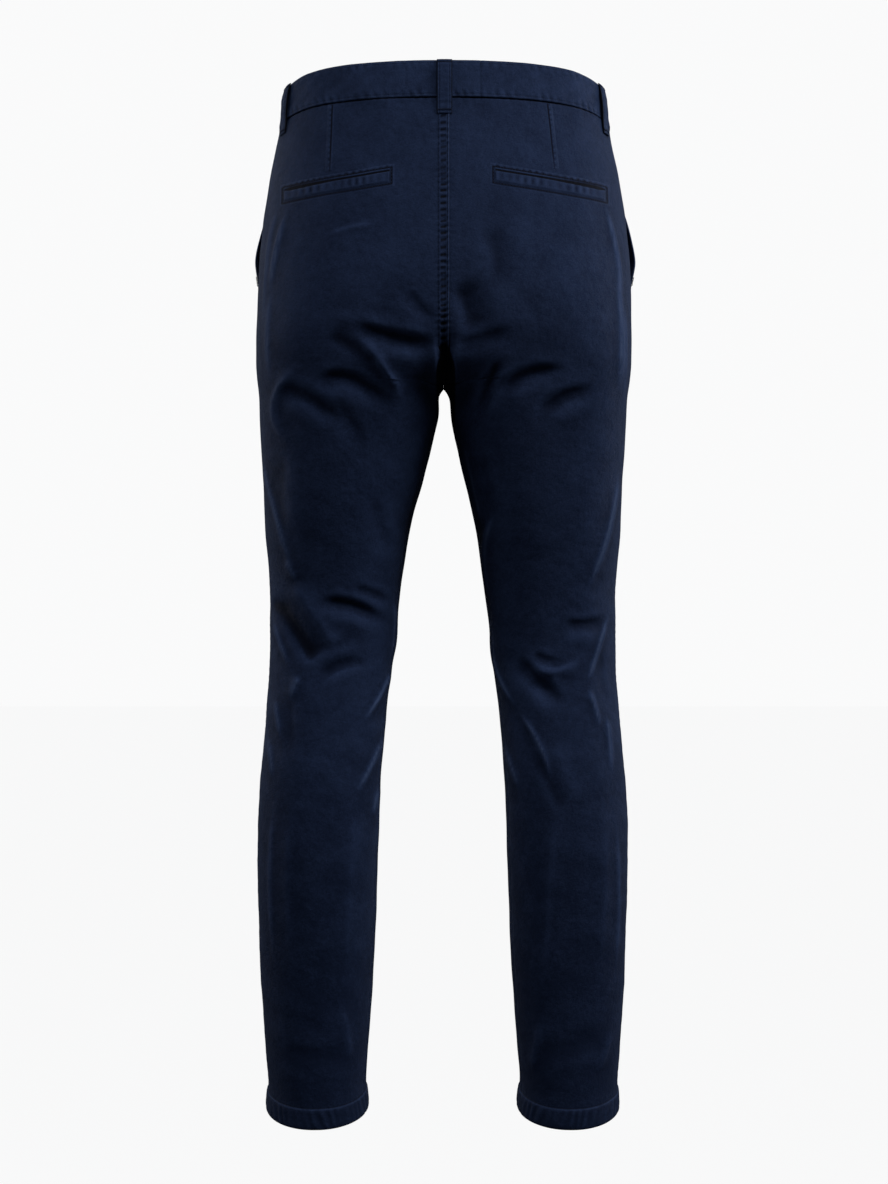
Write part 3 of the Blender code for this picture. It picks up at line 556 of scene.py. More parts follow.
def facing_point(x, z, front=False):
    """Creased points, normals and relief at places across and up, on the back or front.
    The nominal height is found by stepping until the tilted form reaches z."""
    x, z = np.asarray(x, float), np.asarray(z, float)
    level = z.copy()
    side = np.where(x >= 0, 1.0, -1.0)
    for _ in range(10):
        angle = angle_across(level, np.abs(x - lean_at(level)))
        angle = -angle if front else angle
        level = level + z - form(level, angle, side)[..., 2]
    points, out, relief = cloth(level, angle, side)
    points[..., 0] = np.where(np.abs(x) < 0.004, x, points[..., 0])
    return points, out, relief


# ------------------------------------------------------------------- meshes

def grid_faces(rows, columns, offset=0, wrap=False):
    """Quads of a grid, closed round its columns if it wraps."""
    index = np.arange(rows * columns).reshape(rows, columns) + offset
    right = np.roll(index, -1, axis=1) if wrap else index[:, 1:]
    left = index if wrap else index[:, :-1]
    return np.stack([left[:-1], right[:-1], right[1:], left[1:]], axis=-1).reshape(-1, 4)


def make_mesh(name, vertices, faces, uv=None, values=None):
    """A smooth mesh object at the origin, its faces turned outwards, with an own UV map in
    metres and named values at its vertices."""
    vertices, faces = np.ascontiguousarray(vertices, float), np.asarray(faces)
    spoke = vertices[faces] - vertices.mean(axis=0)
    volume = np.einsum("ij,ij->i", spoke[:, 0], np.cross(spoke[:, 1], spoke[:, 2]))
    volume += np.einsum("ij,ij->i", spoke[:, 0], np.cross(spoke[:, 2], spoke[:, 3]))
    if volume.sum() < 0:
        faces = faces[:, ::-1]
    mesh = bpy.data.meshes.new(name)
    mesh.vertices.add(len(vertices))
    mesh.vertices.foreach_set("co", vertices.ravel())
    mesh.loops.add(faces.size)
    mesh.loops.foreach_set("vertex_index", faces.ravel().astype(np.int32))
    mesh.polygons.add(len(faces))
    mesh.polygons.foreach_set("loop_start", (np.arange(len(faces)) * 4).astype(np.int32))
    mesh.polygons.foreach_set("use_smooth", np.ones(len(faces), dtype=bool))
    mesh.update(calc_edges=True)
    mesh.validate()
    if uv is not None:
        corners = np.ascontiguousarray(uv[faces.ravel()]).ravel().astype(np.float32)
        mesh.uv_layers.new(name="cloth").data.foreach_set("uv", corners)
    for key, value in (values or {}).items():
        attribute = mesh.attributes.new(key, "FLOAT", "POINT")
        attribute.data.foreach_set("value", np.ascontiguousarray(value, dtype=np.float32))
    obj = bpy.data.objects.new(name, mesh)
    bpy.context.scene.collection.objects.link(obj)
    return obj


def cut_of(grid, wrap):
    """A grid's flat cut: the widest run along its rows, the longest down its columns, and
    the area between them, summed from each cell's two sides."""
    if wrap:
        grid = np.concatenate([grid, grid[:, :1]], axis=1)
    across = np.linalg.norm(np.diff(grid, axis=1), axis=-1)
    down = np.linalg.norm(np.diff(grid, axis=0), axis=-1)
    cells = np.cross(grid[1:, :-1] - grid[:-1, :-1], grid[:-1, 1:] - grid[:-1, :-1])
    area = np.linalg.norm(cells, axis=-1).sum()
    return float(across.sum(axis=1).max()), float(down.sum(axis=0).max()), float(area)


def wall(name, outer, inner, uv, values, wrap=False):
    """Two layers of one grid joined along their rims into a closed wall."""
    rows, columns = outer.shape[:2]
    count = rows * columns
    index = np.arange(count).reshape(rows, columns)
    quads = grid_faces(rows, columns, wrap=wrap)
    if wrap:
        rims = [index[0], index[-1, ::-1]]
    else:
        rims = [np.concatenate([index[0, :], index[1:, -1], index[-1, -2::-1], index[-2:0:-1, 0]])]
    sides = []
    for rim in rims:
        after = np.roll(rim, -1)
        sides.append(np.stack([after, rim, rim + count, after + count], axis=-1))
    faces = np.concatenate([quads, quads[:, ::-1] + count] + sides)
    vertices = np.concatenate([outer.reshape(-1, 3), inner.reshape(-1, 3)])
    both = {key: np.tile(np.broadcast_to(value, (rows, columns)).ravel(), 2)
            for key, value in values.items()}
    cut_of(outer, wrap)
    return make_mesh(name, vertices, faces, np.tile(uv.reshape(-1, 2), (2, 1)), both)


def run_lengths(points, axis):
    """Length of arc along an axis of a grid of points, from 0."""
    step = np.linalg.norm(np.diff(points, axis=axis), axis=-1)
    zero = np.zeros_like(np.take(step, [0], axis=axis))
    return np.concatenate([zero, np.cumsum(step, axis=axis)], axis=axis)


def cloth_uv(points):
    """Across and down in metres, measured along the middle row and column."""
    columns = points.shape[1]
    middle = run_lengths(points, 0)[:, columns // 2][:, None] * np.ones((1, columns))
    return np.stack([run_lengths(points, 1), middle], axis=-1)


def from_edges(points):
    """Length of arc along each row from its first point, from its last, and from the nearer."""
    across = run_lengths(points, 1)
    back = across[:, -1:] - across
    return across, back, np.minimum(across, back)


def band_heights(bands):
    """Heights from bands of (start, end, spacing)."""
    pieces = []
    for start, end, step in bands:
        count = max(2, int(round((start - end) / step)) + 1)
        pieces.append(np.linspace(start, end, count)[:-1])
    return np.concatenate(pieces + [[bands[-1][1]]])


BAND_COLUMNS = ("start", "end", "spacing")
PANEL_BANDS = (
    (WAIST_SEAM + 0.003, -0.0230, 0.0007),
    (-0.0230, -0.2700, 0.0020),
    (-0.2700, -0.2860, 0.0010),
    (-0.2860, -0.3500, 0.0022),
    (-0.3500, -0.4700, 0.0036),
    (-0.4700, -0.6300, 0.0024),
    (-0.6300, -0.9600, 0.0052),
    (-0.9600, HEM_STITCH, 0.0030),
    (HEM_STITCH, HEM + 0.0012, 0.0045),
)


def mouth_inset(height):
    """Length of arc from the side seam forward to the slanted pocket mouth."""
    return MOUTH_TOP * float(np.clip((height - MOUTH_END) / (WAIST_SEAM - MOUTH_END), 0, 1))


def shares(count):
    """Even shares of a row, closer together by both of its edges."""
    t = np.linspace(0, 1, count)
    return t - 0.11 * np.sin(2 * math.pi * t) / (2 * math.pi) * 5.5


def panel_grid(inner_end, count, inset, trim):
    """Heights and ring angles of a panel's grid, from the side seam to the inner edge.  The
    columns by the inner edge take up the row's fast growth near the crotch."""
    heights = band_heights(PANEL_BANDS)
    ends = (CROTCH_BLEND_START, CROTCH_BLEND_END)
    whole = [arc(h, side_angle(h), inner_end(h))[1][-1] for h in ends]
    share = shares(count)
    rows = []
    for h in heights:
        dense, length = arc(h, side_angle(h), inner_end(h))
        steady = length[-1]
        if ends[1] < h < ends[0]:
            steady = np.interp(h, ends[::-1], whole[::-1])
        wanted = steady * share + (length[-1] - steady) * share**5
        start = trim + inset(h)
        stop = trim if h <= CROTCH else 0.0
        wanted = start + wanted / length[-1] * (length[-1] - start - stop)
        rows.append(np.interp(wanted, length, dense))
    return np.repeat(heights[:, None], count, axis=1), np.array(rows)


def settings():
    """The sizes and colours that the panel shows."""
    return bpy.context.scene.chino_trousers


def finish_piece(obj, finish, node=None):
    """Give a piece its material, let it ride the garment and stand for its solid."""
    obj.data.materials.append(finish)
    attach(obj, "root")
    if node:
        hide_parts(node)
    return obj


def blurred(field, times=4):
    """A grid's values after rounds of a three-point average both ways."""
    for _ in range(times):
        for axis in (0, 1):
            pads = [(1, 1) if k == axis else (0, 0) for k in (0, 1)]
            grown = np.pad(field, pads, mode="edge")
            low, high = (np.take(grown, range(k, k + field.shape[axis]), axis=axis) for k in (0, 2))
            field = 0.25 * low + 0.5 * field + 0.25 * high
    return field


def seam_values(points, relief, height, front=True):
    """Values at the vertices: nearness to the long edges and painted light: paler where the
    cloth stands out and darker in its hollows, on the back painted highlight lines along the
    fine ridges and painted shade and highlight on the facets, a painted shadow just below the
    waistband, a painted highlight beside the side seams and inseams and painted shade, nearly
    black, in the cleft where the four panels meet."""
    across, back, edge = from_edges(points)
    x, z = points[..., 0], points[..., 2]
    # Painted light: paler where the cloth stands out, darker in its hollows
    painted_light = relief / 0.007 + np.clip((relief - blurred(relief, 10)) / 0.00034, -1.3, 1.6)
    if not front:
        # Painted highlight lines down the fine ridges, and painted shade and highlight on the
        # facets
        painted_light = painted_light + 4.2 * crease_depth(x, z, BACK_CREASES)[1] + facet_depth(x, z) / 0.0040
    # Painted shadow just below the waistband
    painted_light = painted_light - 4.0 * ease(height, WAIST_SEAM - 0.0024, WAIST_SEAM - 0.0012)
    # Painted shade, nearly black, in the cleft
    half = 0.0030 + 0.0052 * ease(z, -0.250, -0.272)
    cleft = ease(z, CLEFT_TOP, CLEFT_TOP - 0.005) * (z > CLEFT_END)
    painted_light = painted_light - 9.0 * ease(np.abs(x - CLEFT_PLACE), half + 0.0014, half) * cleft
    leg = ease(height, CROTCH, CROTCH - 0.05)
    # Painted highlight beside the side seams and, on the legs, the inseams
    painted_light = painted_light + 1.0 * bell(across, 0, 0.020) + 0.5 * leg * bell(back, 0, 0.010)
    return {"edge": edge, "painted_light": painted_light, "level": np.broadcast_to(height, relief.shape)}


def seam_dip(points, height):
    """The cloth dips into its side seam and inseam and under the waistband, and ropes a
    little beside them."""
    across, back, edge = from_edges(points)
    leg = ease(height, CROTCH + 0.01, CROTCH - 0.03)
    z = points[..., 2]
    dip = -0.0006 * bell(across, 0, 0.0022) - 0.0006 * leg * bell(back, 0, 0.0022)
    dip = dip - 0.0011 * ease(height, WAIST_SEAM - 0.0022, WAIST_SEAM - 0.0006)
    rope = 0.00022 * bell(edge, 0, 0.006) * ripple(edge * 0, z, 0.0078, 1.9)
    under = bell(WAIST_SEAM - height, 0, 0.007) * ripple(edge * 0, across, 0.0082, 1.2)
    return dip + (rope + 0.00028 * under)


def gape(height, run, side):
    """How far a slanted mouth stands open, most at its middle and next to its edge."""
    most = settings().gape_left if side > 0 else settings().gape_right
    swell = np.where(height > GAPE_MIDDLE, ease(height, GAPE_STARTS[side], GAPE_MIDDLE),
                     ease(height, MOUTH_END, GAPE_MIDDLE))
    return most * swell * bell(run, 0, GAPE_FADE)


def build_panel(name, side, front):
    """A front or back panel: the creased form on its grid with an inner layer 1.2 mm in."""
    count = settings().front_columns if front else settings().back_columns
    inset = mouth_inset if front else (lambda h: 0.0)
    end = front_angle if front else cut_angle
    height, angle = panel_grid(end, count, inset, -SEAM_GAP)
    points, out, relief = cloth(height, angle, side)
    extra = seam_dip(points, height)
    if front:
        opening = gape(height, run_lengths(points, 1), side)
        extra = extra * ease(height, GAPE_MIDDLE, GAPE_MIDDLE - 0.05) + opening
    outer = points + out * extra[..., None]
    inner = outer - out * settings().cloth
    values = seam_values(points, relief + extra * 0.5, height, front)
    panel = wall(name, outer, inner, cloth_uv(points), values)
    return finish_piece(panel, cloth_finish(), name.replace("_cloth", ""))


# ------------------------------------------------------------------- materials

# Materials by name, each made once
MADE = {}


class Value:
    """A shader socket that takes part in sums, as Math nodes."""

    def __init__(self, graph, socket):
        self.graph, self.socket = graph, socket

    def maths(self, operation, other=None):
        """One Math node of this value and another value or number."""
        node = self.graph.tree.nodes.new("ShaderNodeMath")
        node.operation = operation
        for slot, term in zip(node.inputs, (self, other)):
            self.graph.feed(slot, term)
        return Value(self.graph, node.outputs[0])

    def __add__(self, other):
        return self.maths("ADD", other)

    __radd__ = __add__

    def __sub__(self, other):
        return self.maths("SUBTRACT", other)

    def __mul__(self, other):
        return self.maths("MULTIPLY", other)

    def sin(self):
        return self.maths("SINE")

    def exp(self):
        return self.maths("EXPONENT")

    def clamp(self):
        """The value kept between 0 and 1."""
        result = self.maths("ADD", 0.0)
        result.socket.node.use_clamp = True
        return result


class Graph:
    """A material's node tree, with one method for every node."""

    def __init__(self, name):
        self.material = bpy.data.materials.new(name)
        self.material.use_nodes = True
        self.tree = self.material.node_tree
        self.shader = self.tree.nodes["Principled BSDF"]
        MADE[name] = self.material

    def feed(self, slot, term):
        """Give a socket a value's link or a plain number or colour."""
        if isinstance(term, Value):
            self.tree.links.new(term.socket, slot)
        elif term is not None:
            slot.default_value = term

    def node(self, kind, settings=None, inputs=None):
        """A node of a type, with its settings and its sockets' values or links."""
        node = self.tree.nodes.new(kind)
        for key, value in (settings or {}).items():
            setattr(node, key, value)
        for key, value in (inputs or {}).items():
            self.feed(node.inputs[key], value)
        return node

    def value(self, node, output=0):
        """A node's output as a value."""
        return Value(self, node.outputs[output])

    def attribute(self, name):
        """A value stored at the vertices."""
        return self.value(self.node("ShaderNodeAttribute", {"attribute_name": name}), "Fac")

    def mix(self, share, first, second):
        """A colour between two colours."""
        node = self.node("ShaderNodeMix", {"data_type": "RGBA"})
        for slot, term in zip((0, 6, 7), (share, first, second)):
            self.feed(node.inputs[slot], term)
        return Value(self, node.outputs[2])

    def bump(self, height, strength, distance, below=None):
        """A bump of a height value, over another bump if given."""
        inputs = {"Height": height, "Strength": strength, "Distance": distance}
        if below:
            inputs["Normal"] = below
        return self.value(self.node("ShaderNodeBump", {}, inputs))

    def noise(self, where, scale, detail=2.0, roughness=0.5):
        """Noise of a scale at places."""
        inputs = {"Vector": where, "Scale": scale, "Detail": detail, "Roughness": roughness}
        return self.value(self.node("ShaderNodeTexNoise", {}, inputs), "Fac")

    def dress(self, **inputs):
        """Feed the shader's own sockets, named with _ for a space."""
        for name, term in inputs.items():
            self.feed(self.shader.inputs[name.replace("_", " ")], term)


def shade(colour, *factors):
    """An opaque colour with its channels multiplied by one factor or by three."""
    factors = factors if len(factors) == 3 else factors * 3
    return tuple(channel * factor for channel, factor in zip(colour, factors)) + (1.0,)


def cloth_finish():
    """Washed cotton twill: diagonal ribs from the UV map, crumple noise from Object
    coordinates, paler along worn seams and darker down the legs, with painted light from the
    vertices' values: painted highlights on what stands out, a pale painted highlight on the
    fine ridges and seam edges, painted shade in the troughs and nearly black painted shade in
    slits, grooves and the cleft."""
    if "twill" in MADE:
        return MADE["twill"]
    deep, light = settings().navy, settings().navy_light
    g = Graph("twill")
    uv = g.value(g.node("ShaderNodeUVMap", {"uv_map": "cloth"}))
    split = g.node("ShaderNodeSeparateXYZ", {}, {"Vector": uv})
    u, v = g.value(split, 0), g.value(split, 1)
    where = g.value(g.node("ShaderNodeTexCoord"), "Object")
    painted_light, edge, level = g.attribute("painted_light"), g.attribute("edge"), g.attribute("level")
    mottle = g.noise(where, 30.0, 5.0, 0.62)
    blotch = g.noise(where, 150.0, 4.0, 0.6)
    fine = g.noise(where, 620.0, 3.0, 0.7)
    ribs = ((u + v * 1.25) * (2 * math.pi / RIB_PITCH)).sin()
    weft = (v * (2 * math.pi / WEFT_PITCH) + fine * 4.0).sin()
    stretch = {"Vector": uv, "Scale": (260.0, 1500.0, 1.0)}
    stretched = g.value(g.node("ShaderNodeMapping", {}, stretch))
    slub = g.noise(stretched, 1.0)
    worn = ((edge * -420.0).exp() * g.noise(where, 210.0, 2.0, 0.6) * 1.5).clamp()
    grain = (fine - 0.5) * 0.85 + (slub - 0.5) * 0.45 + ribs * 0.03
    # The vertices' value paints light here: highlights on what stands out, shade in the hollows;
    # worn is real wear along the seams
    tone = (0.30 + (mottle - 0.5) * 0.75 + (blotch - 0.5) * 0.50 + grain + painted_light * 0.16
            + worn * 0.25 - ((level + 0.58) * -0.68).clamp())
    dye_and_painted_light = g.mix(tone.clamp(), shade(deep, 1), shade(light, 1))
    # Painted highlight: a pale colour on the highest values, the fine ridges' lines and seam edges
    dye_and_painted_light = g.mix((painted_light * 0.20 - 0.60).clamp(), dye_and_painted_light, shade(light, 2.4, 2.0, 1.5))
    # Painted shade: nearly black in slits, grooves and the cleft
    dye_and_painted_light = g.mix((painted_light * -0.30 - 0.42).clamp(), dye_and_painted_light, shade(deep, 0.16))
    crumple = g.bump(g.noise(where, 62.0, 5.0, 0.58), 0.65, 0.0030)
    weave = g.bump(ribs * 0.5 + weft * 0.25 + fine * 1.4 + slub * 0.6, 0.5, 0.00028, crumple)
    g.dress(Base_Color=dye_and_painted_light, Roughness=(0.82 + (fine - 0.5) * 0.2 - worn * 0.08).clamp(),
            Normal=weave, Specular_IOR_Level=0.08, Sheen_Weight=0.02, Sheen_Roughness=0.35,
            Sheen_Tint=(0.62, 0.70, 1.0, 1.0))
    return g.material


def thread_finish():
    """Dyed cotton thread with a fine twist, a little paler than the cloth."""
    if "thread" in MADE:
        return MADE["thread"]
    g, colour = Graph("thread"), settings().thread_colour
    twist = g.noise(g.value(g.node("ShaderNodeTexCoord"), "Object"), 1400.0, 2.0, 0.6)
    g.dress(Base_Color=g.mix(twist, shade(colour, 0.7), shade(colour, 1.4)),
            Roughness=(0.55 + twist * 0.25).clamp(), Normal=g.bump(twist, 0.5, 0.0002),
            Specular_IOR_Level=0.08)
    return g.material


def button_finish():
    """Dyed button resin, faintly clouded and rubbed."""
    if "button_resin" in MADE:
        return MADE["button_resin"]
    g, colour = Graph("button_resin"), settings().button_colour
    cloud = g.noise(g.value(g.node("ShaderNodeTexCoord"), "Object"), 260.0, 4.0, 0.6)
    g.dress(Base_Color=g.mix(cloud, shade(colour, 0.7), shade(colour, 1.5)),
            Roughness=(0.32 + cloud * 0.2).clamp(), Normal=g.bump(cloud, 0.15, 0.0003))
    return g.material


# ------------------------------------------------------------------- pieces

def patch(name, x, z, lift, thickness, front=False, node=None, tone=0.0):
    """A strip of cloth on the creased surface: its points at places across and up, moved
    out by lift, with an inner layer thickness below.  Its colour gets painted light: paler where
    it stands out, darker in its hollows, and paler or darker by tone, a painted highlight or shade."""
    points, out, relief = facing_point(x, z, front)
    outer = points + out * lift[..., None]
    inner = points + out * (lift - thickness)[..., None]
    rows = np.minimum(run_lengths(points, 0), run_lengths(points[::-1], 0)[::-1])
    edge = np.minimum(from_edges(points)[2], rows)
    fine = relief + lift
    # Painted light: paler where the strip stands out, darker in its hollows, plus the painted tone
    painted_light = relief / 0.006 + np.clip((fine - blurred(fine, 12)) / 0.00022, -2.2, 1.3)
    values = {"edge": edge, "painted_light": painted_light + tone, "level": z}
    strip = wall(name, outer, inner, cloth_uv(points), values)
    return finish_piece(strip, cloth_finish(), node)


def stitch_bodies(centres, along, out, half, radius):
    """Vertices and faces of many stitches: each a four-sided spindle of four rings along
    `along`, swelling from 0.3 of its radius to the whole."""
    across = unit(np.cross(along, out))
    corners = []
    for place, swell in ((-1.0, 0.30), (-0.45, 1.0), (0.45, 1.0), (1.0, 0.30)):
        middle = centres + along * (place * half)[:, None]
        for aside, above in ((1, 0), (0, 1), (-1, 0), (0, -1)):
            corner = middle + across * (aside * radius * swell) + out * (above * radius * swell)
            corners.append(corner[:, None])
    vertices = np.concatenate(corners, axis=1)
    caps = np.array([[3, 2, 1, 0], [12, 13, 14, 15]])
    faces = np.concatenate([grid_faces(4, 4, wrap=True), caps])
    offsets = (np.arange(len(centres)) * len(corners))[:, None, None]
    return vertices.reshape(-1, 3), (faces[None] + offsets).reshape(-1, 4)


def join_stitches(name, parts):
    """One mesh of thread from several (vertices, faces)."""
    starts = np.cumsum([0] + [len(vertices) for vertices, _ in parts])
    faces = np.concatenate([faces + start for (_, faces), start in zip(parts, starts)])
    obj = make_mesh(name, np.concatenate([vertices for vertices, _ in parts]), faces)
    return finish_piece(obj, thread_finish())


def along_path(path, out, pitch):
    """Even places on a path, with its direction and the cloth's normal there."""
    length = path_lengths(path)
    count = max(1, int(length[-1] // pitch))
    wanted = (np.arange(count) + 0.5) * length[-1] / count

    def at(places, values):
        """Points or normals at lengths of path."""
        return np.stack([np.interp(places, length, values[:, k]) for k in range(3)], axis=1)

    ahead = at(wanted + 0.0004, path) - at(wanted - 0.0004, path)
    return at(wanted, path), unit(ahead), unit(at(wanted, out))


def stitch_rows(name, rows):
    """Running stitches along several paths as one mesh.  Each row is (path, normals, lift)."""
    size = settings()
    parts = []
    for path, out, lift in rows:
        place, along, normal = along_path(path, out, size.stitch_pitch)
        half = np.full(len(place), size.stitch_pitch * 0.40)
        parts.append(stitch_bodies(place + normal * lift, along, normal, half, size.thread))
    return join_stitches(name, parts)


def bar_tacks(name, bars):
    """Dense bars of thread: each is (path, normals, width, lift), its stitches across the
    path."""
    parts = []
    for path, out, width, lift in bars:
        place, along, normal = along_path(path, out, TACK_PITCH)
        lean = unit(unit(np.cross(along, normal)) + along * 0.12)
        half = width / 2 * (1 + 0.06 * np.sin(np.arange(len(place)) * 2.3))
        parts.append(stitch_bodies(place + normal * lift, lean, normal, half, TACK_THREAD))
    return join_stitches(name, parts)


def place_line(x, z, front=False):
    """Points and normals along a line of places on the back or front."""
    points, out, _ = facing_point(np.asarray(x, float)[None], np.asarray(z, float)[None], front)
    return points[0], out[0]


def build_bearer(name, side):
    """The hip piece behind the slanted mouth: the form set in by 1.4 mm, deeper where the
    front panel covers it."""
    heights = np.linspace(WAIST_SEAM + 0.003, MOUTH_END - 0.010, 90)
    columns = 36
    angles, covered = [], []
    for h in heights:
        wanted = np.linspace(SEAM_GAP / 2, mouth_inset(h) + BEARER_REACH, columns)
        angles.append(angles_at(h, side_angle(h), front_angle(h), wanted))
        covered.append(wanted - mouth_inset(h))
    height = np.repeat(heights[:, None], columns, axis=1)
    points, out, relief = cloth(height, np.array(angles), side)
    under = -0.0014 - 0.0018 * ease(np.array(covered), -0.012, 0.002)
    outer = points + out * under[..., None]
    # The relief passed is lowered, so the bearer is painted a little darker, as shade behind the
    # mouth
    values = seam_values(points, relief - 0.0015, height)
    obj = wall(name, outer, outer - out * 0.0010, cloth_uv(points), values)
    return finish_piece(obj, cloth_finish(), name.replace("_cloth", ""))


def grid_shares(across, down):
    """Grids of shares across and down from (start, end, count) of each."""
    return np.meshgrid(np.linspace(*across), np.linspace(*down))


def build_shield():
    """The fly shield: a strip behind the centre-front slit, narrower at its foot."""
    across, down = grid_shares((0, 1, 22), (0, 1, 60))
    z = -0.0215 + (-0.1835 + 0.0215) * down
    narrow = 1 - 0.55 * ease(down, 0.77, 1.0) ** 2
    x = -0.008 + 0.044 * across * narrow
    lift = np.full_like(x, -0.0021)
    return patch("fly_shield_cloth", x, z, lift, 0.0010, True, "fly_shield")


def band_angles(height):
    """Side, ring angle, lap offset and length round the waistband at one height, from the
    under end at the front, round the wearer's right, the back and the left, to the upper end."""
    dense, length = arc(height, front_angle(height), cut_angle(height))
    count, lapped = settings().band_columns // 2, 26
    even = np.linspace(0, length[-1], count)
    angles = np.interp(even, length, dense)
    under_x = np.linspace(settings().lap, 0.001, lapped)
    under = -angle_across(np.full(lapped, height), under_x)
    right_drop = -LAP_STEP * (1 - ease(even, 0.004, 0.045))
    side = np.concatenate([np.ones(lapped), -np.ones(count), np.ones(count - 1)])
    angle = np.concatenate([under, angles, angles[::-1][1:]])
    drop = np.concatenate([np.full(lapped, -LAP_STEP), right_drop, np.zeros(count - 1)])
    run = np.concatenate([-under_x, even, 2 * length[-1] - even[::-1][1:]])
    return side, angle, drop, run


def band_surface(height):
    """Waistband points and normals: the form carried between the top and the seam, puckered
    a little below its top edge and above its seam."""
    side, angles, drop, runs = (np.array(part) for part in zip(*[band_angles(h) for h in height]))
    level = np.asarray(height, float)[:, None] * np.ones((1, angles.shape[1]))
    points, out = form(level, angles, side), form_normal(level, angles, side)
    share = (level - WAIST_SEAM) / (WAIST_TOP - WAIST_SEAM)
    relief = (0.00034 * bell(share, 0.90, 0.10) * ripple(share * 0, runs, 0.0095, 0.7)
              + 0.00046 * bell(share, 0.07, 0.12) * ripple(share * 0, runs, 0.0088, 2.6)
              + 0.00045 * np.sin(runs * 73 + share * 2.2) * np.sin(runs * 41 - share * 3.1)
              + 0.00020 * np.sin(runs * 190 + share * 6.0) * np.sin(share * 9 + runs * 57))
    roll = -0.0007 * bell(share, 1.0, 0.035) - 0.0004 * bell(share, 0, 0.03)
    rows = -0.00030 * (bell(share, 0.935, 0.022) + bell(share, 0.075, 0.022))
    joins = bell(np.abs(points[..., 0]), 0.0365, 0.0009) * (points[..., 1] > 0)
    rows = rows - 0.00035 * joins
    lift = BAND_PROUD + drop + relief + roll + rows
    return points + out * lift[..., None], out, relief + roll + rows, runs


def build_waistband():
    """The doubled band as a wall 2.4 mm thick on a fine grid."""
    heights = np.linspace(WAIST_TOP + 0.0004, WAIST_SEAM - 0.0002, 48)
    outer, out, relief, runs = band_surface(heights)
    inner = outer - out * settings().band_cloth
    above = (heights - WAIST_SEAM)[:, None] * np.ones_like(relief)
    edge = np.minimum(above, (WAIST_TOP - WAIST_SEAM) - above).clip(0)
    # Painted light: paler where the band stands out and darker in its hollows; the whole band is
    # also made a little paler
    painted_light = 0.8 + np.clip((relief - blurred(relief, 3)) / 0.00016, -2.6, 1.2) + relief / 0.0012
    values = {"edge": edge, "painted_light": painted_light, "level": above}
    down = (heights[0] - heights)[:, None] * np.ones_like(relief)
    obj = wall("waistband_cloth", outer, inner, np.stack([down, runs], axis=-1), values)
    return finish_piece(obj, cloth_finish(), "waistband")


def band_line(height):
    """A row of stitches' path round the band at one height."""
    points, out, _, _ = band_surface([height])
    return points[0], out[0], 0.0


def build_seat_seam():
    """The felled seat seam, 13 mm wide: a crisp turned edge on the wearer's right with a step
    and a painted shadow line under it, two sunken rows of stitches, and between them slanting
    puckers of 6.2 mm pitch that deepen towards the crotch.  Tone paints a highlight on the
    turned edge, shade on the rows and in the puckers, and near-black shade at its foot in the
    cleft."""
    across, down = grid_shares((-1, 1, 31), (0, 1, 400))
    x = 0.0006 + 0.0066 * across
    z = -0.0040 + (-0.2795 + 0.0040) * down
    body = ease(across, -0.97, -0.88) * ease(across, 1.0, 0.55)
    ridge = bell(across, -0.78, 0.10)
    rows = bell(across, -0.60, 0.07) + 0.8 * bell(across, 0.66, 0.07)
    phase = z / 0.0062 * 2 * math.pi + 0.9 * np.sin(z * 60) + 0.6 * np.sin(z * 151 + 1)
    phase = phase + across * 0.9
    ovals = ease(across, -0.60, -0.25) * ease(across, 0.62, 0.30)
    pucker = (0.5 + 0.5 * np.cos(phase)) ** 1.6 * ovals * (0.75 + 0.35 * down)
    lift = (0.00085 + 0.00028 * ridge - 0.00038 * rows - 0.00060 * pucker
            - 0.00060 * ease(z, -0.245, -0.258))
    lift = np.maximum(lift, LEAST_LIFT) - 0.00140 * (1 - body)
    # Painted light: highlight on the turned edge, shade on the stitch rows, in the puckers and in
    # the line under the edge, and near-black shade in the cleft at the foot
    tone = 3.4 * ridge - 2.2 * rows - 4.0 * pucker - 8.0 * bell(across, -0.93, 0.08)
    tone = tone - 9.0 * ease(z, -0.246, -0.252)
    return patch("seat_seam", x, z, lift, 0.0009, tone=tone)


def build_darts():
    """Each dart as a narrow folded ridge, with painted shade beside its fold and painted
    highlight and shade on its puckers, that dies out at its point.
    """
    for row in DARTS:
        d = dict(zip(DART_COLUMNS, row))
        across, down = grid_shares((-1, 1, 15), (0, 1, 110))
        x = d["x_top"] + (d["x_end"] - d["x_top"]) * down + 0.0040 * across
        z = d["z_top"] + (d["z_end"] - d["z_top"]) * down
        edge = math.copysign(1.0, d["x_top"])
        q = across * edge
        body = ease(q, 1.0, 0.3) * ease(q, -0.35, -0.15) * (1 - 0.7 * ease(down, 0.45, 1.0))
        fold = 1.7 * bell(q, -0.32, 0.12) * (1 - 0.6 * ease(down, 0.6, 1.0))
        waves = ripple(x * 0, z, 0.0058, 1.1)
        tuck = 0.00016 * waves * bell(q, 0, 0.5)
        lift = np.maximum(0.00050 * body - 0.00055 * fold + tuck, LEAST_LIFT)
        lift = lift - 0.00060 * ease(np.abs(q), 0.78, 1.0)
        # Painted shade beside the fold, painted highlight and shade on the puckers
        tone = -5.6 * bell(q, -0.32, 0.15) * (1 - 0.5 * ease(down, 0.7, 1.0))
        tone = tone + 2.4 * bell(q, 0.05, 0.16) * waves
        patch(d["name"], x, z, lift, 0.0008, tone=tone)


def welt_frame(welt, along, drop):
    """Places on a pocket: a share along its mouth and a drop below it."""
    x = welt["x_out"] + (welt["x_in"] - welt["x_out"]) * along
    z = welt["z_out"] + (welt["z_in"] - welt["z_out"]) * along
    sag = 0.0012 * np.sin(math.pi * along)
    return x, z - sag - drop


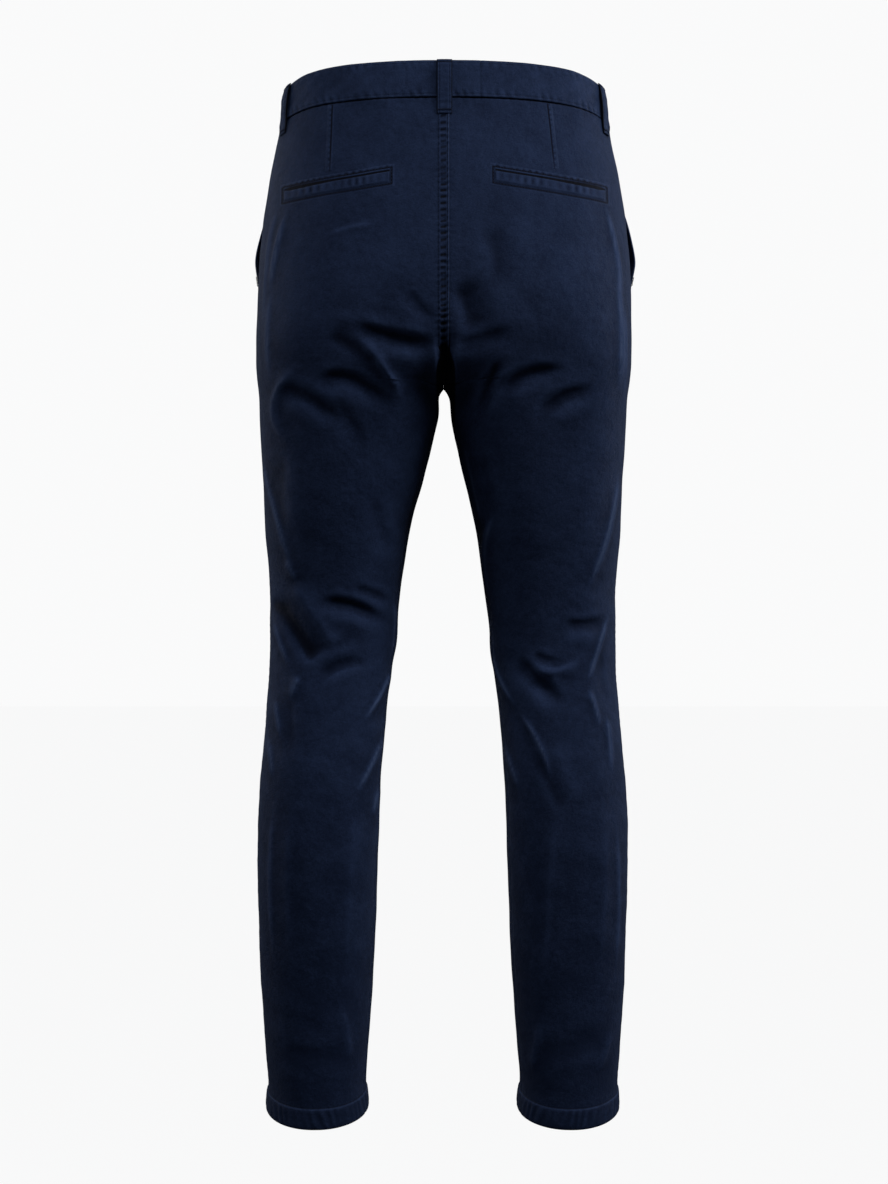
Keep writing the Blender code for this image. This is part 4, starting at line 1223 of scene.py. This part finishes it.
def build_welt(welt):
    """A back pocket, one fine piece worked across and down: a lip above the mouth, the open
    mouth with painted shade, nearly black, in it, widest towards the side seam, a padded welt
    with puckers, and a frame sunk round them.  Tone paints shade in the frame's grooves and at
    its ends, and highlights on the lip, the brow above it, the padded welt and its puckers."""
    tall = settings().welt
    down, along = grid_shares((-WELT_ABOVE, tall + WELT_BELOW, 51),
                              (-WELT_PAST, 1 + WELT_PAST, 226))
    x, z = welt_frame(welt, along, down)
    span = abs(welt["x_out"] - welt["x_in"])
    aside = np.minimum(along + 0.022, 1.022 - along) * span
    inside = ease(aside, -0.0002, 0.0010)
    mouth = 0.00080 + 0.0010 * ease(along, 0.66, 0.12) * ease(along, 0.0, 0.06)
    slit = np.exp(-((np.abs(down - 0.0011) / mouth) ** 2.6)) * ease(aside, 0.0015, 0.0035)
    frame_down = np.minimum(np.abs(down + FRAME_ABOVE), np.abs(down - tall - FRAME_BELOW))
    groove = bell(frame_down, 0, 0.00085) * inside
    ends = (bell(aside, 0, 0.00085) * ease(down, -0.0030, -0.0016)
            * ease(down, tall + 0.0034, tall + 0.0018))
    share = np.clip((down - 0.0014) / (tall - 0.0014), 0, 1)
    pad = ease(down, 0.0012, 0.0026) * ease(down, tall + 0.0012, tall - 0.0016)
    pad = pad * ease(aside, 0.0016, 0.0034)
    rope = ripple(x * 0, x, 0.0078, 1.3 + welt["side"]) * np.sin(math.pi * share)
    lip = ease(down, -0.0018, -0.0006) * ease(down, 0.0006, -0.0001)
    lip = lip * ease(aside, 0.0012, 0.0028)
    brow = bell(down, -0.0036, 0.0012) * ripple(x * 0, x, 0.0064, 0.4) * inside
    lift = (0.00005 + 0.00095 * pad + 0.00028 * rope * pad + 0.00060 * lip - 0.0030 * slit
            - 0.00085 * groove - 0.00085 * ends + 0.00020 * brow)
    above_below = np.minimum(down + WELT_ABOVE, tall + WELT_BELOW - down)
    beside = np.minimum(along + WELT_PAST, 1 + WELT_PAST - along) * span
    lift = np.maximum(lift, 0.00018) - 0.00075 * ease(np.minimum(above_below, beside), 0.0014, 0.0)
    # Painted light: shade in the mouth, the frame's grooves and its ends, highlights on the pad,
    # its puckers, the lip and the brow
    tone = (0.5 * pad + 2.2 * rope * pad + 2.0 * lip - 9.0 * slit - 5.2 * groove - 5.2 * ends
            + 3.0 * brow)
    patch(welt["name"] + "_cloth", x, z, lift, 0.0012, node=welt["name"], tone=tone)


def build_welts():
    """Both back pockets, with a row of stitches round each frame and a bar tack at each end
    of the mouth."""
    rows, bars = [], []
    tall = settings().welt
    t = np.linspace(0, 1, 60)
    for row in WELTS:
        welt = dict(zip(WELT_COLUMNS, row))
        build_welt(welt)
        for drop in (-FRAME_ABOVE, tall + FRAME_BELOW):
            rows.append((*place_line(*welt_frame(welt, -0.020 + 1.040 * t, drop + 0 * t)), 0.00018))
        for end in (-0.021, 1.021):
            down = -FRAME_ABOVE + (tall + FRAME_ABOVE + FRAME_BELOW) * t
            rows.append((*place_line(*welt_frame(welt, end + 0 * t, down)), 0.00018))
        for end in (-0.004, 1.004):
            line = place_line(*welt_frame(welt, end + 0 * t, (tall + 0.0002) * t))
            bars.append((*line, 0.0013, 0.00005))
    stitch_rows("pocket_stitches", rows)
    bar_tacks("pocket_tacks", bars)


def loop_surface(side, around, width):
    """A belt loop's outer points and normals: the form between below the seam and the band's
    top, moved across by lengths of arc, and stood off by the loop's own profile."""
    stand_at, stand = (column(LOOP_STAND, LOOP_STAND_COLUMNS, name) for name in LOOP_STAND_COLUMNS)
    along = np.linspace(0, 1, LOOP_ROWS)
    height = WAIST_SEAM - LOOP_BELOW + (WAIST_TOP - WAIST_SEAM + LOOP_BELOW + 0.0008) * along
    offsets = np.linspace(-width / 2, width / 2, LOOP_COUNT)
    sides, angle = [], []
    for h in height:
        dense, length = arc(h, cut_angle(h), front_angle(h))
        place = around * length[-1] + offsets
        sides.append(np.where(place >= 0, side, -side))
        angle.append(np.interp(np.abs(place), length, dense))
    sides, angle = np.array(sides), np.array(angle)
    levels = height[:, None] * np.ones((1, LOOP_COUNT))
    lift = smooth_between(along, stand_at, stand)[:, None] + 0 * angle
    return form(levels, angle, sides), form_normal(levels, angle, sides), lift, along


def build_loops():
    """Five folded loops with rounded edges, two rows of edge stitching and a bar tack at
    each end; the one at the back is a little wider."""
    size = settings()
    rows, bars = [], []
    across = np.abs(np.linspace(-1, 1, LOOP_COUNT))[None, :]
    for name, side, around in LOOPS:
        wide = size.loop_width * (1.07 if around == 0 else 1.0)
        points, out, lift, along = loop_surface(side, around, wide)
        shape = size.loop_cloth * (1 - 0.45 * across ** 6) - 0.00042 * bell(across, 0.66, 0.10)
        waves = ripple(across * 0, along[:, None] * 0.054, 0.006, side * 1.7 + around * 9)
        pucker = 0.00018 * waves
        ends = 0.0006 * (bell(along, 0, 0.05) + bell(along, 1, 0.05))[:, None]
        outer = points + out * (lift + shape + pucker * (1 - across) - ends)[..., None]
        inner = points + out * lift[..., None] * 0.92
        swell = shape + pucker - ends
        # Painted light: paler where the loop stands out, darker in its hollows, and a dark painted
        # shadow along both long edges; the whole loop is also made a little paler
        painted_light = (0.5 + np.clip((swell - blurred(swell, 3)) / 0.00014, -2.0, 1.2)
                 - 5.0 * (across > 0.90))
        edge = (1 - across) * size.loop_width / 2 + 0 * along[:, None]
        values = {"edge": edge, "painted_light": painted_light, "level": lift}
        obj = wall(name + "_cloth", outer, inner, cloth_uv(points), values)
        finish_piece(obj, cloth_finish(), name)
        for place in (4, LOOP_COUNT - 5):
            rows.append((outer[2:-2, place], out[2:-2, place], 0.00005))
        for place in (4, LOOP_ROWS - 4):
            bars.append((outer[place, 1:-1], out[place, 1:-1], 0.0022, 0.0001))
    stitch_rows("loop_stitches", rows)
    bar_tacks("loop_tacks", bars)


def hem_ring(side):
    """A hem as a closed profile carried round the leg, roped by slanting waves of about
    8 mm."""
    level, out_by = (column(HEM_PROFILE, HEM_COLUMNS, name)[:, None] for name in HEM_COLUMNS)
    columns = settings().hem_columns
    dense = np.linspace(0, 2 * math.pi, 1600)
    length = path_lengths(form(np.full_like(dense, HEM), dense, side))
    even = np.linspace(0, length[-1], columns + 1)[:-1]
    angle = np.interp(even, length, dense)[None, :] * np.ones_like(level)
    height = level * np.ones((1, columns))
    points, out, _ = cloth(height, angle, side)
    turn = even * 2 * math.pi / length[-1]
    wander = 1.1 * np.sin(turn * 5 + side) + 0.7 * np.sin(turn * 13)
    phase = turn * round(length[-1] / 0.0083) + wander + (height - HEM_STITCH) * 210
    body = (ease(height, HEM_STITCH, HEM_STITCH - 0.005)
            * ease(height, HEM - 0.0006, HEM + 0.004))
    swell = 0.6 + 0.4 * np.sin(turn * 7 + 2 * side)
    relief = 0.00052 * body * swell * np.sin(phase)
    outside = (out_by > -0.001) * 1.0
    seams = bell(angle, 0.10, 0.03) + bell(angle, math.pi - 0.30, 0.03)
    lift = out_by + relief * (0.35 + 0.65 * outside) - 0.0006 * seams * outside
    return points + out * lift[..., None], out, relief, even, height


def build_hems():
    """Both turned-up hems, closed rings, with one row of stitches each."""
    rows = []
    for side, name, slot in ((1, "hem_left", "back_left"), (-1, "hem_right", "back_right")):
        points, out, relief, even, height = hem_ring(side)
        count, columns = relief.shape
        first = np.arange(columns)
        last = first + (count - 1) * columns
        closing = np.stack([np.roll(last, -1), last, first, np.roll(first, -1)], axis=-1)
        faces = np.concatenate([grid_faces(count, columns, wrap=True), closing])
        uv = np.stack([np.broadcast_to(even, relief.shape), -height], axis=-1).reshape(-1, 2)
        # Painted light: paler on the puckers' crests, darker in their hollows, a painted highlight
        # just below the stitch line and a painted shadow just above it
        painted_light = ((relief / 0.00035).clip(-1.8, 1.3)
                 + 2.4 * bell(height, HEM_STITCH - 0.0008, 0.0007)
                 - 4.0 * bell(height, HEM_STITCH + 0.0006, 0.0006))
        edge = np.minimum(HEM_STITCH - height, height - HEM).clip(0)
        values = {"edge": edge.ravel(), "painted_light": painted_light.ravel(), "level": height.ravel()}
        obj = make_mesh(name, points.reshape(-1, 3), faces, uv, values)
        finish_piece(obj, cloth_finish())
        path, normals = (np.concatenate([grid[HEM_STITCH_ROW], grid[HEM_STITCH_ROW, :1]])
                         for grid in (points, out))
        rows.append((path, normals, 0.00002))
    stitch_rows("hem_stitches", rows)


def build_fly():
    """The fly's lapped edge down the centre front, its J of stitches, the row below it and a
    bar tack."""
    across, down = grid_shares((-1, 1, 11), (0, 1, 160))
    x = 0.0008 + 0.0034 * across
    z = -0.0240 + (-0.1900 + 0.0240) * down
    lift = ease(across, -1.0, -0.8) * ease(across, 1.0, 0.0) * (1 - 0.6 * ease(down, 0.9, 1.0))
    patch("fly_edge", x, z, -0.0003 + 0.0014 * lift, 0.0009, True)
    rows = []
    for inset in (0.0, 0.0055):
        straight = np.linspace(FLY_TOP, FLY_TURN, 60)
        turn = np.linspace(0, math.pi / 2, 30)
        bend = 0.0035 + (FLY_WIDE - inset) * np.cos(turn)
        x = np.concatenate([np.full(60, 0.0375 - inset), bend])
        z = np.concatenate([straight, FLY_TURN - (FLY_TALL - inset) * np.sin(turn)])
        rows.append((*place_line(x, z, True), 0.0002))
    t = np.linspace(0, 1, 200)
    rows.append((*place_line(-0.0045 + 0 * t, -0.172 + (-0.262 + 0.172) * t, True), 0.0002))
    stitch_rows("fly_stitches", rows)
    part = t[:40] * 5
    tack = place_line(0.004 + 0.008 * part, -0.1700 + 0.004 * part, True)
    bar_tacks("fly_tack", [(*tack, 0.0024, 0.0004)])


def build_pocket_mouths():
    """Stitches 6 mm in from the slanted mouths and a bar tack at each mouth's ends."""
    rows, bars = [], []
    for side in (1, -1):
        heights = np.linspace(-0.0230, MOUTH_END + 0.004, 120)
        paths = []
        for inset in (0.006, 0.0015):
            angles = [angles_at(h, side_angle(h), front_angle(h), mouth_inset(h) + inset)
                      for h in heights]
            points, out, _ = cloth(heights, np.array(angles), side)
            paths.append((points + out * gape(heights, inset, side)[:, None], out))
        (stitched, normals), (edge, edge_normals) = paths
        rows.append((stitched, normals, 0.0003))
        for stop in (slice(4, 9), slice(108, 115)):
            bars.append((edge[stop], edge_normals[stop], 0.0060, 0.0006))
    stitch_rows("mouth_stitches", rows)
    bar_tacks("mouth_tacks", bars)


def build_button():
    """The resin button keeps its solid; thread crosses its holes, and a buttonhole is worked
    beside it."""
    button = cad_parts["waist_button"]
    button.data.materials.clear()
    button.data.materials.append(button_finish())
    low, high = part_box("waist_button")
    middle = (low + high) / 2
    place = np.array([[middle.x + dx, low.y + 0.0005, middle.z] for dx in (-0.0019, 0.0019)])
    up = np.tile([[0.0, 0.0, 1.0]], (2, 1))
    out = np.tile([[0.0, -1.0, 0.0]], (2, 1))
    cross = stitch_bodies(place, up, out, np.full(2, 0.0026), 0.00055)
    join_stitches("button_thread", [cross])
    t = np.linspace(0, 1, 70)
    x = np.interp(t, (0, 0.5, 1), (0.0045, 0.0262, 0.0045))
    level = np.full(70, (WAIST_TOP + WAIST_SEAM) / 2) + 0.0013 * np.sign(0.5 - t + 1e-6)
    angles = -angle_across(level, x)
    path, normals = form(level, angles, 1), form_normal(level, angles, 1)
    bar_tacks("buttonhole", [(path, normals, 0.0020, 0.0010)])


def build_floor():
    """A wide pale floor well below the hems, that lights nothing."""
    low = CAD_BOX[0][2] - 0.9
    corners = [(x * 30.0, y * 30.0, low) for x, y in ((-1, -1), (1, -1), (1, 1), (-1, 1))]
    mesh = bpy.data.meshes.new("floor")
    mesh.from_pydata(corners, [], [(0, 1, 2, 3)])
    floor = bpy.data.objects.new("floor", mesh)
    bpy.context.scene.collection.objects.link(floor)
    floor.visible_diffuse = floor.visible_glossy = False
    g = Graph("floor_pale")
    g.dress(Base_Color=(0.02, 0.02, 0.02, 1.0), Roughness=1.0, Specular_IOR_Level=0.0,
            Emission_Color=(0.935, 0.937, 0.94, 1.0), Emission_Strength=1.0)
    mesh.materials.append(g.material)
    return floor


def build_world():
    """A pale world, seen as a near-white backdrop and much weaker as light."""
    world = bpy.data.worlds.new("studio")
    world.use_nodes = True
    tree = world.node_tree
    backdrop, ambient = tree.nodes["Background"], tree.nodes.new("ShaderNodeBackground")
    for node, tint, strength in ((backdrop, (0.955, 0.957, 0.96), 1.0),
                                 (ambient, (0.93, 0.96, 1.0), settings().world_light)):
        node.inputs["Color"].default_value = tint + (1.0,)
        node.inputs["Strength"].default_value = strength
    seen, choice = tree.nodes.new("ShaderNodeLightPath"), tree.nodes.new("ShaderNodeMixShader")
    tree.links.new(seen.outputs["Is Camera Ray"], choice.inputs[0])
    tree.links.new(ambient.outputs[0], choice.inputs[1])
    tree.links.new(backdrop.outputs[0], choice.inputs[2])
    tree.links.new(choice.outputs[0], tree.nodes["World Output"].inputs["Surface"])
    bpy.context.scene.world = world
    bpy.context.scene.view_settings.view_transform = "Standard"


def build_stage():
    """The floor, the world, six soft lamps, the strongest behind on the wearer's right, and
    the camera behind the garment."""
    floor = build_floor()
    build_world()
    for row in LIGHTS:
        light = dict(zip(LIGHT_COLUMNS, row))
        data = bpy.data.lights.new(light["name"], "AREA")
        data.energy = settings().key_light * light["share"]
        data.size, data.color = light["size"], light["tint"]
        lamp = bpy.data.objects.new(light["name"], data)
        lamp.location = light["place"]
        aim = Vector((0, 0, -0.15)) - Vector(light["place"])
        lamp.rotation_euler = aim.to_track_quat("-Z", "Y").to_euler()
        bpy.context.scene.collection.objects.link(lamp)
    camera = bpy.data.cameras.new("camera")
    camera.lens, camera.sensor_width = 79.0, 36.0
    eye = bpy.data.objects.new("camera", camera)
    eye.location = (0.0, 2.65, -0.489)
    eye.rotation_euler = (math.pi / 2, 0.0, math.pi)
    bpy.context.scene.collection.objects.link(eye)
    bpy.context.scene.camera = eye


# ------------------------------------------------------------------- the add-on

def metres(name, default, description):
    """A setting that is a length."""
    return bpy.props.FloatProperty(name=name, description=description, default=default,
                                   subtype="DISTANCE", unit="LENGTH")


def number(name, default, description):
    """A setting that counts columns."""
    return bpy.props.IntProperty(name=name, description=description, default=default)


def colour(name, default, description):
    """A setting that is a colour."""
    return bpy.props.FloatVectorProperty(name=name, description=description, default=default,
                                         subtype="COLOR")


class ChinoSettings(bpy.types.PropertyGroup):
    """Sizes and colours of the trousers' looks."""

    cloth: metres("Cloth", 0.0012, "Thickness of the twill")
    band_cloth: metres("Band cloth", 0.0024, "Thickness of the doubled waistband")
    welt: metres("Welt", 0.0125, "Height of the back pocket welts")
    loop_width: metres("Loop width", 0.0138, "Width of the belt loops")
    loop_cloth: metres("Loop cloth", 0.0018, "Thickness of the folded loops")
    lap: metres("Lap", 0.034, "How far the waistband laps under at the front")
    gape_left: metres("Left gape", 0.0055, "How far the left slanted mouth stands open")
    gape_right: metres("Right gape", 0.0070, "How far the right slanted mouth stands open")
    stitch_pitch: metres("Stitch pitch", 0.0029, "Length of one stitch and its gap")
    thread: metres("Thread", 0.00026, "Radius of the thread")
    back_columns: number("Back columns", 134, "Columns of a back panel's grid")
    front_columns: number("Front columns", 68, "Columns of a front panel's grid")
    band_columns: number("Band columns", 500, "Columns of the waistband's grid")
    hem_columns: number("Hem columns", 300, "Columns round a hem")
    navy: colour("Navy", (0.0044, 0.0096, 0.0285), "The twill's deeper tone")
    navy_light: colour("Pale navy", (0.0185, 0.0330, 0.0820), "The twill's paler tone")
    thread_colour: colour("Thread colour", (0.0048, 0.0088, 0.0240), "The thread's colour")
    button_colour: colour("Button colour", (0.010, 0.014, 0.028), "The button's colour")
    world_light: bpy.props.FloatProperty(
        name="World light", description="Strength of the pale world's light", default=0.06)
    key_light: bpy.props.FloatProperty(
        name="Key light", description="Power of the key light", default=72.0, unit="POWER")


class CHINO_OT_panels(bpy.types.Operator):
    """Build the creased back and front panels"""
    bl_idname = "chino.panels"
    bl_label = "Panels"

    def execute(self, context):
        for name, side in (("left", 1), ("right", -1)):
            build_panel("back_" + name + "_cloth", side, False)
            build_panel("front_" + name + "_cloth", side, True)
            build_bearer("pocket_bearer_" + name + "_cloth", side)
        build_shield()
        return {"FINISHED"}


class CHINO_OT_waistband(bpy.types.Operator):
    """Build the waistband and its edge stitching"""
    bl_idname = "chino.waistband"
    bl_label = "Waistband"

    def execute(self, context):
        build_waistband()
        rows = [band_line(WAIST_TOP - 0.0022), band_line(WAIST_SEAM + 0.0026)]
        stitch_rows("waistband_stitches", rows)
        return {"FINISHED"}


class CHINO_OT_seams(bpy.types.Operator):
    """Build the seat seam, the darts and the fly's edge and stitches"""
    bl_idname = "chino.seams"
    bl_label = "Seams"

    def execute(self, context):
        build_seat_seam()
        build_darts()
        build_fly()
        t = np.linspace(0, 1, 320)
        rows = [(*place_line(shift + 0 * t, -0.0060 + (-0.249 + 0.006) * t), 0.00050)
                for shift in (-0.0034, 0.0049)]
        stitch_rows("seat_stitches", rows)
        return {"FINISHED"}


class CHINO_OT_pockets(bpy.types.Operator):
    """Build the welted back pockets and the slanted mouths' stitching"""
    bl_idname = "chino.pockets"
    bl_label = "Pockets"

    def execute(self, context):
        build_welts()
        build_pocket_mouths()
        return {"FINISHED"}


class CHINO_OT_loops(bpy.types.Operator):
    """Build the belt loops"""
    bl_idname = "chino.loops"
    bl_label = "Belt loops"

    def execute(self, context):
        build_loops()
        return {"FINISHED"}


class CHINO_OT_hems(bpy.types.Operator):
    """Build the turned-up hems"""
    bl_idname = "chino.hems"
    bl_label = "Hems"

    def execute(self, context):
        build_hems()
        return {"FINISHED"}


class CHINO_OT_button(bpy.types.Operator):
    """Finish the waist button and work its buttonhole"""
    bl_idname = "chino.button"
    bl_label = "Button"

    def execute(self, context):
        build_button()
        return {"FINISHED"}


class CHINO_OT_stage(bpy.types.Operator):
    """Make the floor, the lights and the camera"""
    bl_idname = "chino.stage"
    bl_label = "Stage"

    def execute(self, context):
        build_stage()
        return {"FINISHED"}


OPERATORS = (
    CHINO_OT_panels, CHINO_OT_waistband, CHINO_OT_seams, CHINO_OT_pockets,
    CHINO_OT_loops, CHINO_OT_hems, CHINO_OT_button, CHINO_OT_stage,
)


class CHINO_PT_panel(bpy.types.Panel):
    """The trousers' steps and sizes in the 3D view's sidebar"""
    bl_label = "Chino trousers"
    bl_idname = "CHINO_PT_panel"
    bl_space_type = "VIEW_3D"
    bl_region_type = "UI"
    bl_category = "Chinos"

    def draw(self, context):
        for operator in OPERATORS:
            self.layout.operator(operator.bl_idname)
        for key in ChinoSettings.__annotations__:
            self.layout.prop(context.scene.chino_trousers, key)


CLASSES = (ChinoSettings, *OPERATORS, CHINO_PT_panel)


def register():
    """Register the classes and hang the settings on the scene."""
    for cls in CLASSES:
        bpy.utils.register_class(cls)
    bpy.types.Scene.chino_trousers = bpy.props.PointerProperty(type=ChinoSettings)


def unregister():
    """Take the settings and the classes away again."""
    del bpy.types.Scene.chino_trousers
    for cls in reversed(CLASSES):
        bpy.utils.unregister_class(cls)


def main():
    """Build every piece in order."""
    register()
    for operator in OPERATORS:
        getattr(bpy.ops.chino, operator.bl_idname.split(".")[1])()


if __name__ == "__main__":
    main()
